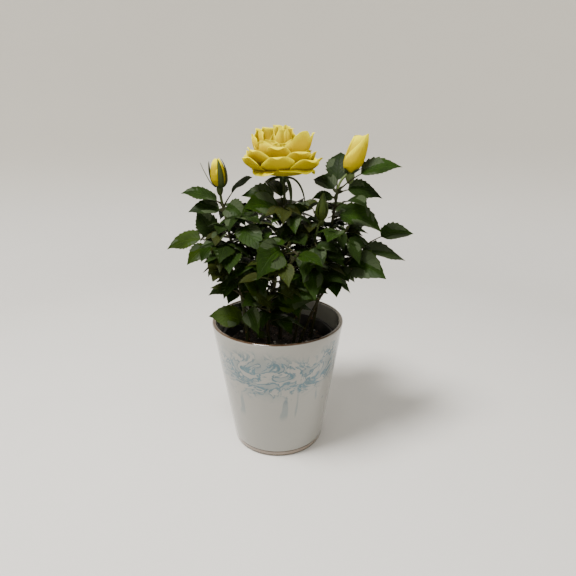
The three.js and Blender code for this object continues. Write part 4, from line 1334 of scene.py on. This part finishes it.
class ROSE_OT_canes(bpy.types.Operator):
    """Make the canes from the soil to their tips, with their bark's relief and their prickles"""

    bl_idname = "rose.canes"
    bl_label = "Canes"

    def execute(self, context):
        foliage = context.scene.rose_foliage
        stock = Stock()
        for mass in grow_plant():
            stock.add(sleeve_pattern(12, 96), tube_place(mass.axis, -0.012, 1, cane_radius(mass)))
            self.add_prickles(stock, mass)
        nodes = [f"cane_{shoot['name']}" for shoot in SHOOTS]
        bark = bark_finish("cane_bark", foliage.cane, foliage.old_cane, 420)
        thorn = bark_finish("prickles", (0.16, 0.085, 0.04), (0.09, 0.05, 0.025), 500)
        stock.finish("canes", [bark, thorn], "cane", nodes)
        return {"FINISHED"}

    def add_prickles(self, stock, mass):
        """Hooked prickles on the lower cane."""
        throws = Dice(mass.index + 801)
        share = 0.05
        while share < 0.62:
            bearing = throws(0, 360)
            stock.add(thorn_pattern(), self.prickle_place(mass, share, bearing, throws(1.8, 2.8)), 1)
            share += throws(0.05, 0.11)

    def prickle_place(self, mass, share, bearing, length):
        """A prickle stands out from the cane and hooks down."""
        heading = mass.axis.heading(share)
        outward = toward(bearing)
        outward = unit(outward - heading * float(np.dot(outward, heading)))
        sideways = cross(heading, outward)
        radius = mass.shoot["radius"][0] * (1 - share) + mass.shoot["radius"][1] * share
        root = mass.axis.point(share) + outward * (radius * 0.85)

        def place(x, y, z):
            thick = 0.75 * (1 - z) ** 1.3
            hooked = 0.5 * length * z * z - y * thick * 1.7
            return root + outward * (z * length) - heading * hooked + sideways * (x * thick * 0.6)

        return place


def blade_edge(y):
    """Half width of a finished leaflet over its greatest one: round at its foot, drawn out at its tip."""
    return math.sin(math.pi * min(max(y, 0.0), 1.0) ** 0.74) ** (0.62 + 0.62 * y)


def blade_place(leaflet, fold, wave, phase, twist):
    """Bends the flat leaflet pattern onto one leaflet's midrib."""
    frames = {}

    def place(x, y, z):
        if y not in frames:
            at, heading, side, face = leaflet.frame(y)
            turned = twist * y
            level = side * math.cos(turned) + face * math.sin(turned)
            frames[y] = (at, level, cross(level, heading), leaflet.length * BLADE_WIDTH * 1.04 * blade_edge(y))
        at, side, face, half = frames[y]
        waves = wave * x * x * math.sin(5.2 * y + phase + (1.1 if x > 0 else 0))
        lift = half * (fold * abs(x) ** 1.4 + waves)
        return at + side * (x * half) + face * (lift + z * KEEL)

    return place


def stipule_place(leaf, hand):
    """One of the two narrow wings at the foot of a leaf's stalk."""
    reach = 5.5 / leaf.axis.length

    def place(x, y, _):
        at, _, side, face = frame_of(leaf.axis, reach * (0.15 + y), leaf.leaflets[0].roll)
        width = 1.5 * math.sin(math.pi * min(1, 0.15 + 0.85 * y)) * (x + 1) / 2
        return at + side * (hand * (0.3 + width)) + face * (0.35 * width)

    return place


class ROSE_OT_leaves(bpy.types.Operator):
    """Make the twigs, the leaf stalks and every leaf"""

    bl_idname = "rose.leaves"
    bl_label = "Twigs and Leaves"

    def execute(self, context):
        foliage = context.scene.rose_foliage
        stalks, blades = Stock(), Stock()
        throws = Dice(77)
        for mass in grow_plant():
            for twig in mass.twigs:
                stalks.add(sleeve_pattern(7, 8), tube_place(twig, 0, 1, lambda s, _: 0.95 - 0.3 * s))
            for leaf in mass.leaves:
                self.add_leaf(leaf, stalks, blades, throws, foliage.waviness)
        twig_bark = bark_finish("leaf_stalk_skin", foliage.cane, foliage.old_cane, 700)
        stalks.finish("twigs_and_leaf_stalks", [twig_bark], "cane")
        skins = [leaf_finish(f"leaf_{green}", getattr(foliage, green), 0.38) for green in GREENS]
        finishes = [skin for upper in skins for skin in (upper, underside_finish(foliage.under))]
        nodes = [f"foliage_{shoot['name']}" for shoot in SHOOTS]
        blades.finish("leaves", finishes, "foliage", nodes)
        return {"FINISHED"}

    def add_leaf(self, leaf, stalks, blades, throws, waviness):
        """One leaf: its stalk, its two stipules and its leaflets."""

        def stalk_radius(s, _):
            along = s / leaf.blade_from
            return STALK_RADIUS * (1 - 0.35 * along) + 0.5 * math.exp(-along * leaf.axis.length / 6)

        stalks.add(sleeve_pattern(6, 6), tube_place(leaf.axis, 0, leaf.blade_from + 0.02, stalk_radius))
        for hand in (1, -1):
            stalks.add(sheet_pattern(1, 4), stipule_place(leaf, hand))
        for leaflet in leaf.leaflets:
            fold, wave = throws(0.08, 0.34), waviness * throws(0.4, 1.5)
            place = blade_place(leaflet, fold, wave, throws(0, 6.3), throws(-0.3, 0.3))
            blades.add(blade_pattern(), place, 2 * GREENS.index(leaf.green))


# ---- Flowers ----

HEART_TOP = 38.4  # the greatest height of a heart petal over the bloom's base
SEPAL_STREAKS = 500  # scale of the streaks in the green skins
SEPAL_STREAK = (0.03, 0.035, 0.012)
BUD_SEPAL_STREAK = (0.04, 0.055, 0.012)
# Young and old colour of the right bud's cup and of the green bud's sepals.
PALE_CUP = ((0.075, 0.11, 0.03), (0.12, 0.15, 0.06))
YOUNG_SEPAL = ((0.010, 0.022, 0.002), (0.028, 0.042, 0.004))
YOUNG_RIM = (0.075, 0.078, 0.006)  # rims of the green bud's petals


def petal_place(base, bearing, petal, habit):
    """Bends a sheet into a petal: cupped across and ruffled, with a rim that rolls back, most at its middle.

    habit gives the share of the length that rolls back, the roll's radius in millimetres and its turn in
    radians, how far its corners are rounded off and how (the lower point is, the more the tip is drawn out, and
    skew puts the tip off the middle), the ruffle in millimetres, its waves and phase and its depth (the
    lower, the further down it reaches), the curl of the sides, and the lean: how far the petal's top stands
    off to one side.
    """
    outward, sideways = toward(bearing), toward(bearing + 90)
    middle = petal_curve(petal)
    lean = np.array(habit.get("lean", (0, 0, 0)), float)
    lip, bend = habit["lip"], habit["bend"]

    def place(u, y, _):
        v = PETAL_ROOT + (1 - PETAL_ROOT) * (1 - (1 - y) ** 1.5)
        share = v * (1 - habit["rounding"] * abs(u - habit.get("skew", 0)) ** habit.get("point", 3))
        rolls_from = 1 - lip
        flat = min(share / rolls_from, 1)
        radius, _, height = middle.point(flat)
        heading = middle.heading(flat)
        half = petal["half_width"] * 1.12 * share**0.7 * (1 - 0.28 * share**6)
        inward = half * (petal["cup"] * u * u - habit["curl"] * u**6 * share * share)
        wave = math.sin(habit["waves"] * u + habit["phase"])
        inward += habit["ruffle"] * share ** habit.get("depth", 4) * wave
        beyond = max(0.0, share - rolls_from) * middle.length / rolls_from
        turned = min(beyond / bend, habit["roll"])
        rest = beyond - turned * bend
        ahead = bend * math.sin(turned) + rest * math.cos(turned)
        back = bend * (1 - math.cos(turned)) + rest * math.sin(turned) - inward
        radius += ahead * heading[0] + back * heading[2]
        height += ahead * heading[2] - back * heading[0]
        return np.array(base) + outward * radius + sideways * (u * half) + UP * height + lean * (height / 40)

    return place


# The close petals in the heart of the bloom, ring by ring from outside: number of petals, first bearing,
# greatest radius, height in front and at the back, half width, and where the ring stands at its top.
HEART_RINGS = (
    {"petals": 8, "first": -125, "radius": 18.5, "front": 22, "back": 36, "half_width": 13.5, "lean": -8.0},
    {"petals": 7, "first": -80, "radius": 13.5, "front": 25, "back": 37, "half_width": 11.0, "lean": -6.5},
    {"petals": 5, "first": -105, "radius": 7.0, "front": 35, "back": 38, "half_width": 7.0, "lean": 0.0},
    {"petals": 4, "first": -60, "radius": 3.5, "front": 38, "back": 38, "half_width": 4.5, "lean": 1.0},
)


def sepal_place(base, bearing, sepal, half_width):
    """Bends a sheet into a sepal: broad at its foot and drawn out to a fine point."""
    outward, sideways = toward(bearing), toward(bearing + 90)
    middle = petal_curve(sepal)

    def place(u, y, _):
        radius, _, height = middle.point(y)
        heading = middle.heading(y)
        half = half_width * (0.35 + 1.1 * y) * (1 - y) ** 0.8 * 1.35 + 0.12
        inward = 0.9 * half * u * u
        radius -= inward * heading[2]
        height += inward * heading[0]
        return np.array(base) + outward * radius + sideways * (u * half) + UP * height

    return place


def cup_place(base, radius, depth):
    """The green cup under a flower: an urn that narrows toward the stalk."""
    return lambda x, y, z: (
        base[0] + x * radius * (1 + 0.2 * z), base[1] + y * radius * (1 + 0.2 * z), base[2] + (z - 0.75) * depth
    )


def add_green_parts(stock, shoot, base, cup_radius, cup_depth, kind=0):
    """A flower's stalk and its green cup."""
    thin = shoot["radius"][1]
    stalk = flower_stalk(shoot, base)
    stock.add(sleeve_pattern(9, 16), tube_place(stalk, -0.03, 1, lambda s, _: thin * (1 - 0.05 * s)), kind)
    stock.add(ball_pattern(3), cup_place(base, cup_radius, cup_depth), kind)


def find_shoot(name):
    """The shoot of that name."""
    return next(shoot for shoot in SHOOTS if shoot["name"] == name)


class ROSE_OT_bloom(bpy.types.Operator):
    """Make the open bloom"""

    bl_idname = "rose.bloom"
    bl_label = "Bloom"

    def execute(self, context):
        flowers = context.scene.rose_flowers
        ruffle = flowers.ruffle / MM
        petals, green = Stock(), Stock()
        throws = Dice(7)
        moods = Dice(17)
        for number, whorl in enumerate(WHORLS):
            for i in range(whorl["petals"]):
                bearing = whorl["first"] + i * whorl.get("turn", 360 / whorl["petals"]) + throws(-5, 5)
                reach, rise = whorl["end"]
                end = (reach, rise + throws(-1.2, 1.2) * 1.5)
                is_rolled = number < 4
                facing = 0.35 + 0.65 * abs(math.sin(math.radians(bearing)))
                if is_rolled:
                    leftward = max(0.0, -math.cos(math.radians(bearing)))
                    end = (reach + (33 - reach) * 0.6 * leftward, end[1] - (2.5 if number == 3 else 0))
                    if number == 0:
                        end = (reach - 2.5, end[1] - 0.6)
                    form = {"cup": whorl["cup"] * 0.25, "half_width": whorl["half_width"] * 1.12, "end": end}
                else:
                    end = (reach + 3.5, end[1] - 0.5 - 3.5 * i)
                    form = {"end": end, "control": (23, 12), "half_width": 11.5}
                habit = {
                    "lip": moods(0.1, 0.16) * facing if is_rolled else moods(0.03, 0.06),
                    "bend": moods(1.2, 1.8),
                    "rounding": moods(0.2, 0.3) if is_rolled else 0.2,
                    "point": moods(1.3, 2.2), "skew": moods(-0.35, 0.35) if is_rolled else -0.1,
                    "roll": moods(2.3, 3.0) * facing * (0.4 if number == 0 else 1),
                    "ruffle": ruffle * moods(0.4, 0.9) * (1 if is_rolled else 1.5), "waves": moods(2.5, 4.5),
                    "phase": moods(0, 6.3), "curl": moods(0.0, 0.1) if is_rolled else 0,
                }
                petals.add(sheet_pattern(12, 18), petal_place(BLOOM_BASE, bearing, {**whorl, **form}, habit))
        self.add_heart(petals, moods, ruffle)
        finish = petal_finish("petal", flowers.depth, flowers.rim, BLOOM_SHADE_HEIGHTS)
        piece = petals.finish("bloom_petals", [finish], "petals", ["bloom"])
        thicken(piece, 0.4, 1)
        self.add_green(green, flowers)
        return {"FINISHED"}

    def add_heart(self, petals, moods, ruffle):
        """The close, upright, ruffled petals in the middle."""
        for ring in HEART_RINGS:
            for i in range(ring["petals"]):
                bearing = ring["first"] + i * 360 / ring["petals"] + moods(-9, 9)
                behind = (1 + math.sin(math.radians(bearing))) / 2
                leftward = max(0.0, -math.cos(math.radians(bearing)))
                height = ring["front"] + (ring["back"] - ring["front"]) * behind + moods(-1.5, 1.5)
                height = min(height + 0.25 * ring["radius"] * leftward, HEART_TOP)
                petal = {
                    "end": (ring["radius"] * moods(0.92, 1.06), height),
                    "control": (ring["radius"] * 1.3, height * 0.4), "half_width": ring["half_width"],
                    "cup": 0.45,
                }
                habit = {
                    "lip": moods(0.03, 0.08), "bend": moods(0.8, 1.3), "roll": moods(1.6, 2.6),
                    "rounding": moods(0.1, 0.2), "point": moods(1.5, 3), "skew": moods(-0.3, 0.3),
                    "ruffle": ruffle * moods(0.6, 1.2), "waves": moods(4, 7),
                    "phase": moods(0, 6.3), "curl": moods(0.0, 0.12), "lean": (ring["lean"], 0, 0), "depth": 2,
                }
                petals.add(sheet_pattern(12, 16), petal_place(BLOOM_BASE, bearing, petal, habit))

    def add_green(self, green, flowers):
        """Stalk, cup and sepals."""
        add_green_parts(green, find_shoot("bloom"), BLOOM_BASE, 2.9, 4)
        foot = (BLOOM_BASE[0], BLOOM_BASE[1], BLOOM_BASE[2] - 2)
        for sepal in BLOOM_SEPALS:
            green.add(sheet_pattern(4, 10), sepal_place(foot, sepal["bearing"], sepal, 2.7))
        skin = bark_finish("sepal_skin", flowers.sepal, SEPAL_STREAK, SEPAL_STREAKS)
        piece = green.finish("bloom_sepals_and_stalk", [skin], "foliage")
        thicken(piece, 0.35, 1)


# Each bud's outline as height and radius shares, its petals (bearing, half its turn round the bud, how far the
# left corner slants down, layer, height) and the sizes of its cup.
BUD_FORMS = {
    "bud_right": {
        "outline": (
            (0, 0.3), (0.05, 0.58), (0.13, 0.84), (0.28, 0.99),
            (0.48, 1), (0.68, 0.93), (0.84, 0.82), (1, 0.62),
        ),
        "petals": (
            (-48, 112, 0.52, 1.2, 1.0), (95, 105, 0.1, 0.5, 0.97), (215, 95, 0.25, 0.0, 0.95),
            (-20, 110, 0.1, -2.5, 0.96), (160, 110, 0.1, -4.5, 0.93), (60, 120, 0.1, -7, 0.95),
            (200, 120, 0.1, -9.5, 0.94), (-40, 130, 0.1, -12, 0.92),
        ),
        "cup": (3.7, 5.5),
    },
    "bud_left": {
        "outline": (
            (0, 0.45), (0.08, 0.8), (0.2, 1), (0.4, 1.02),
            (0.6, 0.92), (0.8, 0.7), (0.92, 0.46), (1, 0.24),
        ),
        "petals": (
            (-130, 95, 0.2, 1.2, 0.98), (-10, 95, 0.4, 0.8, 1.0), (110, 95, 0.3, 0.5, 0.96),
            (-70, 105, 0.1, -1.0, 0.97), (120, 110, 0.1, -2.0, 0.95),
        ),
        "cup": (2.7, 4.6),
    },
    "bud_green": {
        "outline": ((0, 0.4), (0.12, 0.8), (0.3, 1), (0.48, 0.88), (0.64, 0.6), (0.8, 0.32), (1, 0.08)),
        "petals": tuple((72 * i, 60, 0.1, 1 - 0.2 * i, 1 - 0.02 * i) for i in range(5)),
        "cup": (2.2, 3.6),
    },
}

# The sepals of each bud: bearing, height share of the tip, half width, how far the tip stands out.
BUD_SEPALS = {
    "bud_right": [(-60 + 72 * i, 0.12, 1.8, 2.5) for i in range(5)],
    "bud_left": [
        (-176, 0.84, 2.3, 9), (152, 0.88, 2.2, 4), (-66, 0.97, 3.4, 0), (-8, 0.98, 3.2, 0.8), (70, 0.9, 3, 1),
    ],
    "bud_green": [(-90 + 72 * i, 1.04 - 0.02 * i, 3.6, 0.2) for i in range(5)],
}


def wrapped_place(bud, form, bearing, wrap, slant, layer, high):
    """Wraps a sheet round a bud as one of its overlapping petals. Its top edge slants down on one side."""
    base = np.array(bud["base"], float)
    lean = np.array(bud["tip"], float) - base
    heights, radii = zip(*form["outline"])

    def place(u, y, _):
        v = y * high * (1 - slant * max(0, -u - 0.15) / 0.85 - 0.05 * u * u)
        angle = bearing + wrap * u + 12 * v
        standing = layer + 0.8 * max(abs(u), y**3) ** 3 * ease(0.0, 0.3, v)
        radius = bud["radius"] * float(np.interp(v, heights, radii)) * (0.88 + standing * 0.06 * (1 - 0.35 * v))
        return base + lean * v + toward(angle) * radius

    return place


def hugging_place(bud, form, bearing, high, half_width, spread):
    """Lays a sheet on the bud's skin as one of its sepals: broad at its foot, its tip drawn out."""
    base = np.array(bud["base"], float)
    lean = np.array(bud["tip"], float) - base
    heights, radii = zip(*form["outline"])

    def place(u, y, _):
        v = high * y
        radius = bud["radius"] * float(np.interp(v, heights, radii)) * 0.98 + 0.5 + spread * y**1.5
        half = half_width * (0.6 + 0.9 * y) * (1 - y) ** 0.9 * 1.2 + 0.12
        angle = bearing + math.degrees(u * half / max(radius, 1.2))
        return base + lean * v - UP * (1.2 * (1 - y) ** 4) + toward(angle) * radius

    return place


class ROSE_OT_buds(bpy.types.Operator):
    """Make the three buds"""

    bl_idname = "rose.buds"
    bl_label = "Buds"

    def execute(self, context):
        flowers = context.scene.rose_flowers
        yellow = petal_finish("bud_petal", flowers.bud, flowers.rim, BUD_SHADE_HEIGHTS)
        young = petal_finish("green_bud_petal", flowers.young, YOUNG_RIM, GREEN_BUD_SHADE_HEIGHTS)
        skin = bark_finish("bud_sepal_skin", flowers.sepal, BUD_SEPAL_STREAK, SEPAL_STREAKS)
        pale = bark_finish("pale_cup_skin", *PALE_CUP, SEPAL_STREAKS)
        fresh = bark_finish("young_sepal_skin", *YOUNG_SEPAL, SEPAL_STREAKS)
        for bud in BUDS:
            petals, green = Stock(), Stock()
            form = BUD_FORMS[bud["name"]]
            for turned in form["petals"]:
                petals.add(sheet_pattern(14, 20), wrapped_place(bud, form, *turned))
            is_young = bud["name"] == "bud_green"
            finish, slot = (young, "green_bud") if is_young else (yellow, "petals")
            piece = petals.finish(f"{bud['name']}_petals", [finish], slot, [bud["name"]])
            thicken(piece, 0.3, 1)
            is_pale = bud["name"] == "bud_right"
            add_green_parts(green, find_shoot(bud["shoot"]), bud["base"], *form["cup"], 1 if is_pale else 0)
            for laid in BUD_SEPALS[bud["name"]]:
                green.add(sheet_pattern(6, 16), hugging_place(bud, form, *laid), 2 * is_young)
            piece = green.finish(f"{bud['name']}_sepals_and_stalk", [skin, pale, fresh], "foliage")
            thicken(piece, 0.3, 1)
        return {"FINISHED"}


# ---- Stage ----

CAMERA_PLACE = (0.0096, -0.3617, 0.2737)
CAMERA_PITCH = 18.7  # degrees below the horizon
LENS, SENSOR = 26.0, 36.0  # millimetres
STAGE_RADIUS, STAGE_CURVE, STAGE_HEIGHT = 1.1, 0.5, 1.5


def add_light(name, place, size, power, colour):
    """A soft area light that looks at the plant."""
    light = bpy.data.lights.new(name, "AREA")
    light.shape = "DISK"
    light.size = size
    light.energy = power
    light.color = colour
    lamp = bpy.data.objects.new(name, light)
    bpy.context.scene.collection.objects.link(lamp)
    lamp.location = place
    lamp.rotation_euler = (Vector((0, 0, 0.15)) - Vector(place)).to_track_quat("-Z", "Y").to_euler()


class ROSE_OT_stage(bpy.types.Operator):
    """Make the floor, the lights and the camera"""

    bl_idname = "rose.stage"
    bl_label = "Stage"

    def execute(self, context):
        stage = context.scene.rose_stage
        rim = arc((STAGE_RADIUS - STAGE_CURVE, STAGE_CURVE), STAGE_CURVE, -90, 0, 16)
        bm = turn([(0, 0), *climb((0, 0), rim[0], 4), *rim, (STAGE_RADIUS, STAGE_HEIGHT)], 96)
        bmesh.ops.reverse_faces(bm, faces=bm.faces)
        mesh = bpy.data.meshes.new("stage_floor")
        bm.to_mesh(mesh)
        bm.free()
        floor = bpy.data.objects.new("stage_floor", mesh)
        mesh.materials.append(stage_finish(stage))
        context.scene.collection.objects.link(floor)
        add_light("key_light", (-0.35, -0.25, 1.25), 0.35, stage.key, (1.0, 0.97, 0.92))
        add_light("fill_light", (0.8, -0.5, 0.7), 0.9, stage.fill, (0.95, 0.97, 1.0))
        self.add_sky(context, stage.ambient)
        self.add_camera(context)
        return {"FINISHED"}

    def add_sky(self, context, strength):
        """An even, pale sky."""
        sky = bpy.data.worlds.new("studio_sky")
        sky.use_nodes = True
        background = sky.node_tree.nodes["Background"]
        background.inputs["Color"].default_value = (0.93, 0.95, 1.0, 1)
        background.inputs["Strength"].default_value = strength
        context.scene.world = sky

    def add_camera(self, context):
        """The camera looks along +Y and a little down."""
        lens = bpy.data.cameras.new("camera")
        lens.lens = LENS
        lens.sensor_width = SENSOR
        lens.clip_start = 0.01
        camera = bpy.data.objects.new("camera", lens)
        camera.location = CAMERA_PLACE
        camera.rotation_euler = (math.radians(90 - CAMERA_PITCH), 0, 0)
        context.scene.collection.objects.link(camera)
        context.scene.camera = camera


# ---- Panel and registration ----

OPERATORS = (
    ROSE_OT_glazed_pot, ROSE_OT_nursery_pot, ROSE_OT_soil, ROSE_OT_canes, ROSE_OT_leaves, ROSE_OT_bloom,
    ROSE_OT_buds, ROSE_OT_stage,
)
SETTINGS = {
    "rose_pot": RosePotSettings, "rose_foliage": RoseFoliageSettings, "rose_flowers": RoseFlowerSettings,
    "rose_stage": RoseStageSettings,
}


class ROSE_PT_panel(bpy.types.Panel):
    """The settings of the rose and the buttons that make its pieces"""

    bl_label = "Potted Miniature Rose"
    bl_idname = "ROSE_PT_panel"
    bl_space_type = "VIEW_3D"
    bl_region_type = "UI"
    bl_category = "Rose"

    def draw(self, context):
        for name in SETTINGS:
            box = self.layout.box()
            group = getattr(context.scene, name)
            for prop in group.__annotations__:
                box.prop(group, prop)
        for operator in OPERATORS:
            self.layout.operator(operator.bl_idname)


def register():
    """Registers the settings, the operators and the panel."""
    for name, group in SETTINGS.items():
        bpy.utils.register_class(group)
        setattr(bpy.types.Scene, name, bpy.props.PointerProperty(type=group))
    for cls in (*OPERATORS, ROSE_PT_panel):
        bpy.utils.register_class(cls)


def unregister():
    """Takes back what register() added."""
    for cls in reversed((*OPERATORS, ROSE_PT_panel)):
        bpy.utils.unregister_class(cls)
    for name, group in reversed(SETTINGS.items()):
        delattr(bpy.types.Scene, name)
        bpy.utils.unregister_class(group)


def main():
    """Makes every piece and the stage."""
    register()
    bpy.ops.rose.glazed_pot()
    bpy.ops.rose.nursery_pot()
    bpy.ops.rose.soil()
    bpy.ops.rose.canes()
    bpy.ops.rose.leaves()
    bpy.ops.rose.bloom()
    bpy.ops.rose.buds()
    bpy.ops.rose.stage()


if __name__ == "__main__":
    main()
